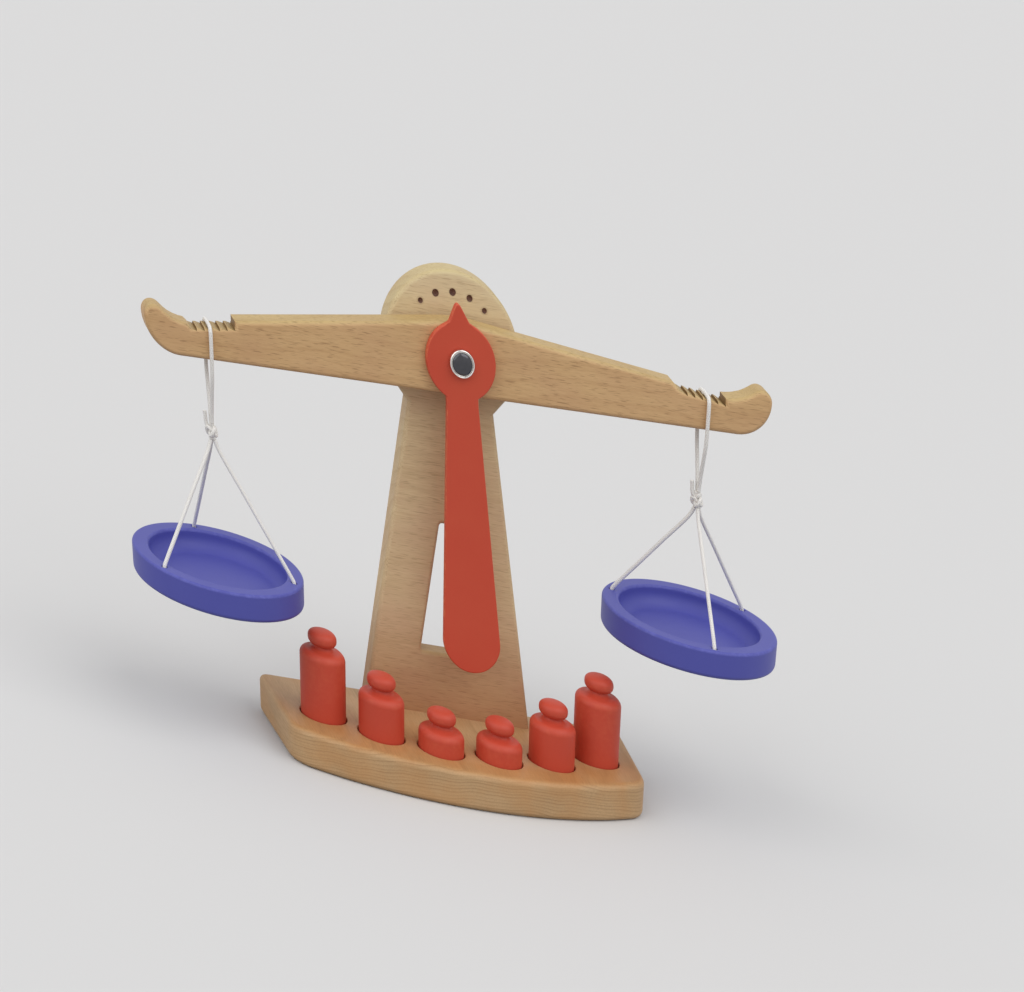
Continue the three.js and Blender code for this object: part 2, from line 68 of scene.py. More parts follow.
# Cords
# Each pan hangs on soft braided cord, 2 mm thick: a loop doubled over a notch of the beam, a knot
# under it, and three legs that run down through holes in the pan's rim to a stopper knot.
cord_radius = 1.0 * mm
cord_sides = 14
ring_spacing = 0.45 * mm
curve_steps = 24
sharp_angle = math.radians(38)
beam_middle_y = 17.75 * mm
hook_places = {"left": (-129.253 * mm, 197.397 * mm), "right": (129.290 * mm, 202.813 * mm)}
loop_drop = 49.8 * mm
leg_drops = {"left": 61.9 * mm, "right": 57.2 * mm}
pan_turns = {"left": math.radians(95.4), "right": math.radians(30.4)}
leg_count = 3
hole_reach = 41.8 * mm
stopper_drop = 10.8 * mm
stopper_size = 0.462
stopper_lift = 2.0
stopper_cord_radius = 0.9 * mm
knot_steps = 120
knot_reach = 0.8
# Routes are in millimetres, and so are a knot's lumps and lifts. First the front half of a loop, as
# (forward, up) from the cord's middle in the notch.
loop_route = [
    (1.3, -45.6), (1.5, -43.6), (2.2, -40.0), (3.7, -34.5), (5.5, -28.5), (7.0, -23.5),
    (7.6, -19.0), (7.8, -14.0), (7.85, -9.0), (7.85, -4.2), (7.6, -1.9), (6.5, -0.45), (4.4, 0.0),
]
# A leg's two ends, as (outward, up) from the knot's middle and from the top of its hole
leg_top = [(1.2, -4.0), (3.3, -8.2)]
leg_end = [(-0.8, 1.3), (-0.2, 0.2), (0.0, -1.2), (0.0, -3.2), (0.0, -5.4), (0.0, -8.3)]
# A knot's crossing turns, as (size, lift, up) of each lump, and its cut tail, as (outward, up)
knot_lumps = {"left": [(1.12, 1.6, -0.1)], "right": [(0.6, 1.3, 2.5), (1.15, 1.4, -0.8)]}
tail_route = [(0.8, 0.6), (2.5, 2.2), (3.1, 4.2), (3.2, 6.4), (3.5, 8.6)]
tail_turns = {"left": math.radians(-25), "right": math.radians(0)}
braid_relief = 0.08 * mm
# Inside a knot a strand of the loop starts at this share of the way out from the knot's middle, and
# stops this share of itself short of the loop. A strand of a leg stops at its share of the way out.
strand_start_share = 0.3
strand_gap_share = 0.05
leg_strand_share = 0.92


def smooth_line(points):
    """Even points along a curve that passes smoothly through the given ones."""
    ends = [2 * points[0] - points[1], *points, 2 * points[-1] - points[-2]]
    dense = []
    for before, start, end, after in zip(ends, ends[1:], ends[2:], ends[3:]):
        spans = ((before, start), (start, end), (end, after))
        t0, t1, t2 = (math.sqrt((b - a).length) for a, b in spans)
        out = ((start - before) / t0 - (end - before) / (t0 + t1) + (end - start) / t1) * t1
        arrive = ((end - start) / t1 - (after - start) / (t1 + t2) + (after - end) / t2) * t1
        cubic = 2 * start - 2 * end + out + arrive
        square = -3 * start + 3 * end - 2 * out - arrive
        for step in range(curve_steps):
            t = step / curve_steps
            dense.append(start + out * t + square * t * t + cubic * t ** 3)
    dense.append(points[-1])
    reach = [0.0]
    for a, b in zip(dense, dense[1:]):
        reach.append(reach[-1] + (b - a).length)
    count = max(2, round(reach[-1] / ring_spacing))
    line = []
    at = 0
    for step in range(count + 1):
        wanted = reach[-1] * step / count
        while at < len(dense) - 2 and reach[at + 1] < wanted:
            at += 1
        share = (wanted - reach[at]) / (reach[at + 1] - reach[at])
        line.append(dense[at].lerp(dense[at + 1], min(1, share)))
    return line


def braid_tube(mesh, lay, line, radius, closed):
    """A round cord along a line. The lay layer keeps how far along and how far round a point is."""
    count = len(line)
    tangents = []
    for i, point in enumerate(line):
        ahead = line[(i + 1) % count] if closed or i < count - 1 else point
        behind = line[i - 1] if closed or i > 0 else point
        tangents.append((ahead - behind).normalized())
    side = tangents[0].orthogonal().normalized()
    rings = []
    along = 0.0
    for i, (point, tangent) in enumerate(zip(line, tangents)):
        if i:
            side = tangents[i - 1].rotation_difference(tangent) @ side
            along += (point - line[i - 1]).length
        across = tangent.cross(side).normalized()
        ring = []
        for k in range(cord_sides):
            turn = 2 * math.pi * k / cord_sides
            spoke = side * math.cos(turn) + across * math.sin(turn)
            ring.append(mesh.verts.new(point + spoke * radius))
        rings.append((ring, along))
    pairs = list(zip(rings, rings[1:]))
    if closed:
        pairs.append((rings[-1], (rings[0][0], along + (line[0] - line[-1]).length)))
    for (low, low_along), (high, high_along) in pairs:
        for k in range(cord_sides):
            after = (k + 1) % cord_sides
            face = mesh.faces.new((low[k], low[after], high[after], high[k]))
            corners = ((low_along, k), (low_along, k + 1), (high_along, k + 1), (high_along, k))
            for corner, (length, around) in zip(face.loops, corners):
                corner[lay].uv = (length / mm, around / cord_sides)
    if not closed:
        mesh.faces.new(reversed(rings[0][0]))
        mesh.faces.new(rings[-1][0])


def piece_of(name, mesh):
    """An object from built mesh, smooth but for its sharp edges."""
    bmesh.ops.recalc_face_normals(mesh, faces=mesh.faces)
    data = bpy.data.meshes.new(name)
    mesh.to_mesh(data)
    mesh.free()
    data.shade_smooth()
    data.set_sharp_from_angle(angle=sharp_angle)
    piece = bpy.data.objects.new(name, data)
    bpy.context.scene.collection.objects.link(piece)
    return piece


def feed(tree, target, value):
    """Links a node's output to a socket, or else sets the socket to an even value."""
    if isinstance(value, bpy.types.NodeSocket):
        tree.links.new(value, target)
    else:
        target.default_value = value


def node(tree, kind, settings=None, **inputs):
    """A shader node; each input is a value or the socket that feeds it."""
    made = tree.nodes.new("ShaderNode" + kind)
    for name, value in (settings or {}).items():
        setattr(made, name, value)
    for name, value in inputs.items():
        feed(tree, made.inputs[name.replace("_", " ")], value)
    return made


def maths(tree, operation, *values):
    """The outcome of a sum, each value of which is a number or a socket."""
    made = node(tree, "Math", {"operation": operation})
    for target, value in zip(made.inputs, values):
        feed(tree, target, value)
    return made.outputs[0]


def noise(tree, place, scales=None, detail=2.0, roughness=0.5):
    """Random patches at a place, which may be scaled along each axis."""
    if scales:
        scaled = node(tree, "VectorMath", {"operation": "MULTIPLY"})
        feed(tree, scaled.inputs[0], place)
        scaled.inputs[1].default_value = scales
        place = scaled.outputs[0]
    made = node(tree, "TexNoise", Vector=place, Scale=1.0, Detail=detail, Roughness=roughness)
    return made.outputs["Fac"]


def ranged(tree, value, low, high, to_low=0.0, to_high=1.0):
    """The value between two bounds, stretched to run from one number to another."""
    made = node(tree, "MapRange", Value=value, From_Min=low, From_Max=high,
                To_Min=to_low, To_Max=to_high)
    return made.outputs["Result"]


def split(tree, vector):
    """A vector's X, Y and Z."""
    return node(tree, "SeparateXYZ", Vector=vector).outputs


def mixed(tree, factor, first, second, how="MIX"):
    """Two colours as one. The node keeps them in its sockets 6 and 7."""
    made = node(tree, "Mix", {"data_type": "RGBA", "blend_type": how})
    feed(tree, made.inputs[0], factor)
    feed(tree, made.inputs[6], first)
    feed(tree, made.inputs[7], second)
    return made.outputs[2]


def tone(code):
    """A colour as the shaders want it, from its six-digit screen code."""
    channels = [int(code[i:i + 2], 16) / 255 for i in (0, 2, 4)]
    return (*[c / 12.92 if c <= 0.04045 else ((c + 0.055) / 1.055) ** 2.4 for c in channels], 1.0)


def effect(name, inputs, outputs):
    """An empty node group with named sockets, and its two ends."""
    tree = bpy.data.node_groups.new(name, "ShaderNodeTree")
    kinds = {"value": "NodeSocketFloat", "colour": "NodeSocketColor", "vector": "NodeSocketVector"}
    for socket, kind, value in inputs:
        made = tree.interface.new_socket(socket, in_out="INPUT", socket_type=kinds[kind])
        if value is not None:
            made.default_value = value
    for socket, kind in outputs:
        tree.interface.new_socket(socket, in_out="OUTPUT", socket_type=kinds[kind])
    return tree, tree.nodes.new("NodeGroupInput").outputs, tree.nodes.new("NodeGroupOutput").inputs


def placed(tree, group, **inputs):
    """A node group's outputs, with its inputs set for this use of it."""
    return node(tree, "Group", {"node_tree": group}, **inputs).outputs


def bare_material(name, **even):
    """A material with its shader, ready for its nodes. Even values are the same all over it."""
    made = bpy.data.materials.new(name)
    made.use_nodes = True
    shader = made.node_tree.nodes["Principled BSDF"].inputs
    for socket, value in even.items():
        shader[socket.replace("_", " ")].default_value = value
    return made, made.node_tree, shader


def raised(tree, shader, height, distance):
    """Height from the nodes, as fine relief of that depth."""
    bump = node(tree, "Bump", Height=height, Distance=distance, Strength=1.0)
    feed(tree, shader["Normal"], bump.outputs["Normal"])


# Strands cross in two directions, with fine fuzz over them, and a gap mask that carries painted shade
# between them
braid, given, made = effect(
    "braid",
    [("Lay", "vector", None), ("Strand Length", "value", 2.2), ("Strands", "value", 6.0)],
    [("Painted Gap Shade", "value"), ("Height", "value")],
)
lay_parts = split(braid, given["Lay"])
strand_turns = maths(braid, "MULTIPLY", lay_parts["Y"], given["Strands"])
strand_steps = maths(braid, "DIVIDE", lay_parts["X"], given["Strand Length"])
waves = []
for crossing in (1.0, -1.0):
    phase = maths(braid, "MULTIPLY_ADD", strand_turns, crossing, strand_steps)
    waves.append(maths(braid, "COSINE", maths(braid, "MULTIPLY", phase, 2 * math.pi)))
ridge = maths(braid, "MAXIMUM", *waves)
fuzz = noise(braid, given["Lay"], (3.0, 24.0, 1.0), 3.0, 0.7)
feed(braid, made["Painted Gap Shade"], ranged(braid, ridge, 0.35, -0.4))
feed(braid, made["Height"], maths(braid, "MULTIPLY_ADD", fuzz, 0.35, ranged(braid, ridge, -0.5, 1.0)))

cord_pale = tone("f4f1ec")
cord_shade = tone("c9c4be")
cord_material, tree, shader = bare_material("white_cord", Sheen_Weight=0.3)
lay = node(tree, "UVMap", {"uv_map": "lay"}).outputs["UV"]
strands = placed(tree, braid, Lay=lay)
soiling = ranged(tree, noise(tree, lay, (0.11, 0.6, 1.0)), 0.5, 0.8, 0.0, 0.3)
# The cord is darker between its strands, which is painted shade, and in random patches of soiling
gap_shade_and_soiling = maths(tree, "MULTIPLY_ADD", strands["Painted Gap Shade"], 0.55, soiling)
feed(tree, shader["Base Color"], mixed(tree, gap_shade_and_soiling, cord_pale, cord_shade))
feed(tree, shader["Roughness"], ranged(tree, strands["Height"], 0.0, 1.3, 0.9, 0.62))
raised(tree, shader, strands["Height"], braid_relief)


def cord_piece(name, body, lines, radius=cord_radius):
    """Cord along each (line, closed) pair, as one piece in the place of the frame's own."""
    mesh = bmesh.new()
    lay = mesh.loops.layers.uv.new("lay")
    for line, closed in lines:
        braid_tube(mesh, lay, line, radius, closed)
    piece = piece_of(name, mesh)
    piece.data.materials.append(cord_material)
    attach(piece, body)
    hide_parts(f"cord_{name}")
    return piece


def knot_turn(centre, size, lift):
    """The crossing turns of one tight overhand knot."""
    line = []
    for step in range(knot_steps):
        t = 2 * math.pi * step / knot_steps
        wide = knot_reach * (math.sin(t) + 2 * math.sin(2 * t))
        deep = knot_reach * (math.cos(t) - 2 * math.cos(2 * t))
        high = -lift * math.sin(3 * t)
        line.append(centre + Vector((wide, deep, high)) * mm * size)
    return line


def beside(middle, outward, route):
    """The places of a route that is given as (outward, up), in millimetres, from a middle."""
    return [middle + outward * out * mm + Vector((0, 0, up)) * mm for out, up in route]


leg_angles = [2 * math.pi * i / leg_count for i in range(leg_count)]
for side, (hook_x, hook_z) in hook_places.items():
    hook = Vector((hook_x, beam_middle_y, hook_z))
    knot_middle = hook - Vector((0, 0, loop_drop))
    rim_middle = knot_middle - Vector((0, 0, leg_drops[side]))

    front = beside(hook, Vector((0, -1, 0)), loop_route)
    back = beside(hook, Vector((0, 1, 0)), reversed(loop_route))
    loop_line = smooth_line(front + back)
    loop = cord_piece(f"loop_{side}", f"loop_{side}", [(loop_line, False)])

    strands = []
    for loop_end in (front[0], back[-1]):
        start = knot_middle + (loop_end - knot_middle) * strand_start_share
        strands.append([start, loop_end - (loop_end - start) * strand_gap_share])
    legs = []
    for angle in leg_angles:
        turn = angle + pan_turns[side]
        outward = Vector((math.cos(turn), math.sin(turn), 0))
        hole_top = rim_middle + outward * hole_reach
        upper = beside(knot_middle, outward, leg_top)
        lower = beside(hole_top, outward, leg_end)
        thirds = [upper[1].lerp(lower[0], share) for share in (1 / 3, 2 / 3)]
        legs.append((smooth_line([*upper, *thirds, *lower]), hole_top))
        strands.append([knot_middle, knot_middle.lerp(upper[0], leg_strand_share)])
    tail_way = Matrix.Rotation(tail_turns[side], 3, "Z") @ Vector((-1, 0, 0))
    strands.append(beside(knot_middle, tail_way, tail_route))
    turns = [knot_turn(knot_middle + Vector((0, 0, up)) * mm, size, lift)
             for size, lift, up in knot_lumps[side]]
    knot = cord_piece(f"knot_{side}", f"knot_{side}", [
        *((turn, True) for turn in turns),
        *((smooth_line(strand), False) for strand in strands),
    ])

    for i, (leg_line, hole_top) in enumerate(legs, 1):
        leg = cord_piece(f"leg_{side}_{i}", f"pan_{side}", [(leg_line, False)])
        stopper_turn = knot_turn(hole_top - Vector((0, 0, stopper_drop)), stopper_size, stopper_lift)
        stopper = cord_piece(f"stopper_{side}_{i}", f"pan_{side}", [(stopper_turn, True)],
                             stopper_cord_radius)

# Base
# A beech board, 20 mm thick, straight at the back and bowed in front, its grain running from front
# to back. Its edges are softened, it is oiled, and six round sockets are bored into its top.
base_back_half = 103.5 * mm
base_front_half = 99.3 * mm
base_depth = 93 * mm
base_thick = 20 * mm
base_bow_radius = 213 * mm
base_front_corner = 18.6 * mm
base_back_corner = 6 * mm
# The bow is made of this many steps, and each front corner takes the place of a few of them
base_bow_steps = 48
base_bow_trim = 6
base_rounding = 3.2 * mm
socket_radius = 13 * mm
socket_depth = 8 * mm
socket_ease = 0.4 * mm
socket_arc = 141 * mm
socket_pitch = math.radians(13.15)
socket_inset = 24.9 * mm
screw_spread = 28 * mm
screw_y = 32.25 * mm
screw_head_radius = 4.3 * mm
screw_head_sink = 0.6 * mm
screw_head_taper = 2.6 * mm
screw_shank_radius = 2.3 * mm
overrun = 4 * mm
base_back_y = base_depth / 2
base_front_y = -base_back_y
rounding_steps = 5
socket_sizes = ("tall", "medium", "small", "small", "medium", "tall")
socket_sides = 64
screw_sides = 24
# However sharp a corner is, it moves inwards by no more than the distance over this share
sharpest_share = 0.35
# The rounding of a board's edge is worn between these shares of its width
worn_from = 0.1
worn_to = 0.64


def arc(middle, radius, start, end, steps, rise=None):
    """Points along an arc from one angle to another, both ends included. It is an ellipse's where
    its rise differs from its radius."""
    points = []
    for i in range(steps + 1):
        turn = start + (end - start) * i / steps
        points.append((middle[0] + radius * math.cos(turn),
                       middle[1] + (rise or radius) * math.sin(turn)))
    return points


def eased(corners, steps=8):
    """A closed outline whose (x, y, radius) corners are rounded."""
    outline = []
    for i, (x, y, radius) in enumerate(corners):
        corner = Vector((x, y))
        before = (Vector(corners[i - 1][:2]) - corner).normalized()
        after = (Vector(corners[(i + 1) % len(corners)][:2]) - corner).normalized()
        if radius == 0:
            outline.append((x, y))
            continue
        reach = radius / math.tan(before.angle(after) / 2)
        start = corner + before * reach
        end = corner + after * reach
        for step in range(steps + 1):
            t = step / steps
            point = start * (1 - t) ** 2 + corner * 2 * t * (1 - t) + end * t * t
            outline.append((point.x, point.y))
    return outline


def ring_of(radius, count=32):
    return arc((0, 0), radius, 0, 2 * math.pi, count)[:-1]


def facing_inward(outline, is_opening):
    """The outline in the order that has the wood on its left."""
    area = sum(a[0] * b[1] - b[0] * a[1] for a, b in zip(outline, outline[1:] + outline[:1]))
    return outline if (area > 0) != is_opening else outline[::-1]


def drawn_in(outline, distance):
    """The outline moved into the wood by a distance."""
    moved = []
    for i, point in enumerate(outline):
        nearby = (outline[i - 1], point, outline[(i + 1) % len(outline)])
        before, here, after = (Vector(p) for p in nearby)
        first = (here - before).normalized()
        second = (after - here).normalized()
        normals = Vector((-first.y - second.y, first.x + second.x)).normalized()
        share = max(sharpest_share, normals.dot(Vector((-first.y, first.x))))
        moved.append(here + normals * distance / share)
    return moved


def bridged(mesh, low, high):
    """Faces between two rings of as many points."""
    for k in range(len(low)):
        after = (k + 1) % len(low)
        mesh.faces.new((low[k], low[after], high[after], high[k]))


def prism(mesh, near, far):
    """A solid between two like outlines."""
    low, high = ([mesh.verts.new(place) for place in outline] for outline in (near, far))
    mesh.faces.new(low[::-1])
    mesh.faces.new(high)
    bridged(mesh, low, high)


def saw_board(name, outline, openings, thick, placing):
    """A board with rounded edges. Its outline and its openings each come with their rounding, and
    placing turns (across, up, deep) into a place."""
    mesh = bmesh.new()
    near = []
    far = []
    quarter = [math.pi / 2 * k / rounding_steps for k in range(rounding_steps + 1)]
    for is_opening, (loop, rounding) in [(False, outline)] + [(True, o) for o in openings]:
        loop = facing_inward(loop, is_opening)
        rings = []
        levels = [(rounding * (1 - math.cos(t)), rounding * (1 - math.sin(t)))
                  for t in reversed(quarter)]
        levels += [(inset, thick - deep) for inset, deep in reversed(levels)]
        for inset, deep in levels:
            flat = drawn_in(loop, inset)
            rings.append([mesh.verts.new(placing(p.x, p.y, deep)) for p in flat])
        for low, high in zip(rings, rings[1:]):
            bridged(mesh, low, high)
        near.append((drawn_in(loop, rounding), rings[0]))
        far.append((drawn_in(loop, rounding), rings[-1]))
    for loops in (near, far):
        corners = [v for _, ring in loops for v in ring]
        for triangle in tessellate_polygon([[p.to_3d() for p in flat] for flat, _ in loops]):
            mesh.faces.new([corners[i] for i in triangle])
    return piece_of(name, mesh)


def turn_on_lathe(mesh, profile, placing, segments):
    """A turned solid from (radius, height) points that start and end on the axis."""
    rings = []
    for radius, height in profile:
        if radius == 0:
            rings.append([mesh.verts.new(placing(0, 0, height))])
            continue
        rings.append([mesh.verts.new(placing(x, y, height)) for x, y in ring_of(radius, segments)])
    for low, high in zip(rings, rings[1:]):
        for k in range(segments):
            after = (k + 1) % segments
            ends = ((low, k), (low, after), (high, after), (high, k))
            corners = [ring[i % len(ring)] for ring, i in ends]
            mesh.faces.new(list(dict.fromkeys(corners)))


def standing_at(x, y, z=0.0):
    """Placing for a piece that is turned about an upright axis."""
    return lambda across, along, up: Vector((x + across, y + along, z + up))


def carved(piece, cutters):
    """Takes the cutters' shape out of the piece."""
    tool = piece_of("cutters", cutters)
    cut = piece.modifiers.new("cut", "BOOLEAN")
    cut.operation = "DIFFERENCE"
    cut.solver = "EXACT"
    cut.object = tool
    bpy.context.view_layer.update()
    whole = bpy.data.meshes.new_from_object(piece.evaluated_get(bpy.context.evaluated_depsgraph_get()))
    piece.modifiers.clear()
    bpy.data.objects.remove(tool)
    piece.data = whole
    whole.shade_smooth()
    whole.set_sharp_from_angle(angle=sharp_angle)


def true_faces(piece):
    """Flat faces shade flat up to their rounded edges."""
    piece.modifiers.new("true_faces", "WEIGHTED_NORMAL").keep_sharp = True


def mark_edges(piece, share):
    """Keeps, for each point, how exposed to handling it is."""
    marks = piece.data.attributes.new("worn", "FLOAT", "POINT")
    for i, vertex in enumerate(piece.data.vertices):
        marks.data[i].value = share(vertex.co)


def rounded_share(axis, low, high, rounding):
    """How exposed a point is, from how far inside the board's two faces it lies."""
    def share(co):
        inside = min(co[axis] - low, high - co[axis])
        return 1.0 if worn_from * rounding < inside < worn_to * rounding else 0.0
    return share


def distance_of(tree, across, along):
    """How far off a point lies whose distances on two axes are given."""
    square = maths(tree, "MULTIPLY", along, along)
    return maths(tree, "SQRT", maths(tree, "MULTIPLY_ADD", across, across, square))


def parts_of(tree, kind="Object"):
    """The place on the piece, or its normal, as separate X, Y and Z."""
    return split(tree, node(tree, "TexCoord").outputs[kind])


def facing_up(tree, low, high):
    """How much a face looks up, rising from zero to one between two heights of its normal."""
    return ranged(tree, parts_of(tree, "Normal")["Z"], low, high)


def tinted(tree, mask, colour, tint):
    """The colour, with a tint laid over it where the mask says."""
    return mixed(tree, mask, colour, tone(tint), "MULTIPLY")


# Fibres and growth rings along X, with the short dark flecks of beech
beech_grain, given, made = effect(
    "beech_grain",
    [("Place", "vector", None), ("Pale", "colour", tone("cda274")), ("Deep", "colour", tone("a9784d")),
     ("Fleck", "colour", tone("8a5a38")), ("Blush", "colour", tone("b58668")),
     ("Ring Width", "value", 4.0), ("Ring Depth", "value", 0.3), ("Wander", "value", 16.0),
     ("Uneven Rings", "value", 0.0), ("Flecks", "value", 1.0)],
    [("Color", "colour"), ("Shine", "value"), ("Height", "value")],
)
tree = beech_grain
place = given["Place"]
drift = noise(tree, place, (0.012, 0.036, 0.036), 1.0)
axes = split(tree, place)
radius = distance_of(tree, axes["Z"], axes["Y"])
radius = maths(tree, "MULTIPLY_ADD", drift, given["Wander"], radius)
ring_count = maths(tree, "DIVIDE", radius, given["Ring Width"])
growth = node(tree, "TexNoise", {"noise_dimensions": "1D"}, Scale=0.35, Detail=1.0, W=ring_count)
season = node(tree, "TexNoise", {"noise_dimensions": "1D"}, Scale=0.7, Detail=0.0, W=ring_count)
faint = ranged(tree, season.outputs["Fac"], 0.35, 0.65, 0.0, 0.7)
faint = maths(tree, "MULTIPLY", faint, given["Uneven Rings"])
phase = maths(tree, "MULTIPLY_ADD", growth.outputs["Fac"], given["Uneven Rings"], ring_count)
phase = maths(tree, "FRACT", phase)
late_wood = maths(tree, "POWER", phase, 3.0)
early_wood = ranged(tree, phase, 0.0, 0.12, 1.0, 0.0)
rings = maths(tree, "MAXIMUM", late_wood, early_wood)
rings = maths(tree, "MULTIPLY", rings, maths(tree, "SUBTRACT", 1.0, faint))
fibre = noise(tree, place, (0.045, 1.4, 1.4), 4.0, 0.65)
fine_fibre = noise(tree, place, (0.15, 2.6, 2.6), 2.0, 0.6)
mottle = noise(tree, place, (0.012, 0.035, 0.035))
warmth = noise(tree, place, (0.03, 0.05, 0.05))
dashes = ranged(tree, noise(tree, place, (0.16, 3.2, 3.2), 0.0), 0.62, 0.76)
dashes = maths(tree, "MULTIPLY", dashes, given["Flecks"])
depth = maths(tree, "MULTIPLY", rings, given["Ring Depth"])
for layer, share in ((fibre, 0.3), (fine_fibre, 0.24), (mottle, 0.24)):
    depth = maths(tree, "MULTIPLY_ADD", ranged(tree, layer, 0.3, 0.7), share, depth)
wood_colour = mixed(tree, depth, given["Pale"], given["Deep"])
blushed = ranged(tree, warmth, 0.4, 0.65, 0.0, 0.4)
wood_colour = mixed(tree, blushed, wood_colour, given["Blush"])
wood_colour = mixed(tree, maths(tree, "MULTIPLY", dashes, 0.65), wood_colour, given["Fleck"])
feed(tree, made["Color"], wood_colour)
feed(tree, made["Shine"], maths(tree, "MULTIPLY_ADD", depth, -0.5, 1.0))
relief = maths(tree, "MULTIPLY_ADD", dashes, -0.7, maths(tree, "MULTIPLY", depth, -0.8))
feed(tree, made["Height"], relief)

# Places where hands and neighbours have rubbed an edge, in patches
rubbed_edge, given, made = effect(
    "rubbed_edge",
    [("Place", "vector", None), ("Exposed", "value", 0.0), ("Patch", "value", 0.25)],
    [("Mask", "value")],
)
tree = rubbed_edge
patch = node(tree, "VectorMath", {"operation": "SCALE"}, Scale=given["Patch"])
feed(tree, patch.inputs[0], given["Place"])
patches = ranged(tree, noise(tree, patch.outputs[0], None, 3.0, 0.7), 0.42, 0.72)
feed(tree, made["Mask"], maths(tree, "MULTIPLY", patches, given["Exposed"]))


def marked(tree, name):
    """The marks that the mesh keeps under a name."""
    return node(tree, "Attribute", {"attribute_name": name}).outputs["Fac"]


def in_millimetres(tree, shift=(0, 0, 0), turn=(0, 0, 0)):
    """The place on the piece, in millimetres, moved and turned to suit the grain."""
    spot = node(tree, "TexCoord").outputs["Object"]
    made = node(tree, "Mapping", Vector=spot, Location=shift, Rotation=turn, Scale=(1 / mm,) * 3)
    return made.outputs["Vector"]


grain_relief = 0.05 * mm


def beech(name, pale, deep, fleck, blush, pith, lean, ring_width, ring_depth, wander, uneven, flecks,
          roughness):
    """Oiled beech. The pith is where the middle of the tree would lie, lean turns the grain, wander
    is how far the rings stray, and uneven is how much they differ from each other."""
    made, tree, shader = bare_material(name, Specular_IOR_Level=0.4)
    spot = in_millimetres(tree, pith, lean)
    turned = node(tree, "Mapping", {"vector_type": "VECTOR"}, Rotation=lean,
                  Vector=node(tree, "TexCoord").outputs["Normal"])
    along = split(tree, turned.outputs["Vector"])["X"]
    end_grain = ranged(tree, maths(tree, "ABSOLUTE", along), 0.3, 0.85, ring_depth * 0.5, ring_depth)
    grain = placed(tree, beech_grain, Place=spot, Pale=tone(pale), Deep=tone(deep), Fleck=tone(fleck),
                   Blush=tone(blush), Ring_Width=ring_width, Ring_Depth=end_grain, Wander=wander,
                   Uneven_Rings=uneven, Flecks=flecks)
    rubbed = placed(tree, rubbed_edge, Place=spot, Exposed=marked(tree, "worn"), Patch=0.1)["Mask"]
    colour = mixed(tree, maths(tree, "MULTIPLY", rubbed, 0.2), grain["Color"], tone(pale))
    feed(tree, shader["Base Color"], colour)
    dull = ranged(tree, grain["Shine"], 0.5, 1.0, roughness + 0.12, roughness)
    feed(tree, shader["Roughness"], dull)
    raised(tree, shader, grain["Height"], grain_relief)
    return made, tree, shader, colour


base_material, tree, shader, base_colour = beech(
    "beech_base", pale="d9b487", deep="a9845b", fleck="84603f", blush="c68d54", pith=(0, -20, 600),
    lean=(0, 0, math.radians(90)), ring_width=1.7, ring_depth=0.56, wander=6.0, uneven=0.8,
    flecks=0.3, roughness=0.45)

# The strip of its top that lies in front of the sockets is tinted darker and more golden where it
# faces up: painted light, the warm tone of the light that falls there
arc_middle_y = base_front_y + socket_inset + socket_arc
axes = parts_of(tree)
from_middle = maths(tree, "SUBTRACT", axes["Y"], arc_middle_y)
from_middle = distance_of(tree, axes["X"], from_middle)
painted_light_strip = ranged(tree, from_middle, socket_arc, socket_arc + socket_radius)
painted_light_strip = maths(tree, "MULTIPLY", painted_light_strip, facing_up(tree, 0.3, 0.9))
feed(tree, shader["Base Color"], tinted(tree, painted_light_strip, base_colour, "efdec8"))

socket_places = []
for i, size in enumerate(socket_sizes):
    steps = i - (len(socket_sizes) - 1) / 2
    side = "left" if steps < 0 else "right"
    socket_x = socket_arc * math.sin(steps * socket_pitch)
    socket_y = arc_middle_y - socket_arc * math.cos(steps * socket_pitch)
    socket_places.append((size, side, socket_x, socket_y))

bow_middle_y = base_front_y + base_bow_radius
bow_angle = math.asin(base_front_half / base_bow_radius)
corner_y = bow_middle_y - base_bow_radius * math.cos(bow_angle)
bow = arc((0, bow_middle_y), base_bow_radius, -math.pi / 2 - bow_angle, -math.pi / 2 + bow_angle,
          base_bow_steps)
base_outline = eased([
    (base_back_half, base_back_y, base_back_corner),
    (-base_back_half, base_back_y, base_back_corner),
    (-base_front_half, corner_y, base_front_corner),
    *[(x, y, 0) for x, y in bow[base_bow_trim:-base_bow_trim]],
    (base_front_half, corner_y, base_front_corner),
])
base = saw_board("base_board", (base_outline, base_rounding), [], base_thick,
                 lambda across, along, deep: Vector((across, along, deep)))

# Sockets are bored from above, and screw holes from below
cutters = bmesh.new()
socket_floor = base_thick - socket_depth
socket_profile = [
    (0, socket_floor), (socket_radius, socket_floor), (socket_radius, base_thick - socket_ease),
    (socket_radius + socket_ease, base_thick), (socket_radius + socket_ease, base_thick + overrun),
    (0, base_thick + overrun),
]
screw_profile = [
    (0, -overrun), (screw_head_radius, -overrun), (screw_head_radius, screw_head_sink),
    (screw_shank_radius, screw_head_sink + screw_head_taper),
    (screw_shank_radius, base_thick + overrun), (0, base_thick + overrun),
]
for _, _, x, y in socket_places:
    turn_on_lathe(cutters, socket_profile, standing_at(x, y), socket_sides)
for x in (-screw_spread, screw_spread):
    turn_on_lathe(cutters, screw_profile, standing_at(x, screw_y), screw_sides)
carved(base, cutters)
mark_edges(base, rounded_share(2, 0, base_thick, base_rounding))
true_faces(base)
base.data.materials.append(base_material)
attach(base, "stand")
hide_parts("base")

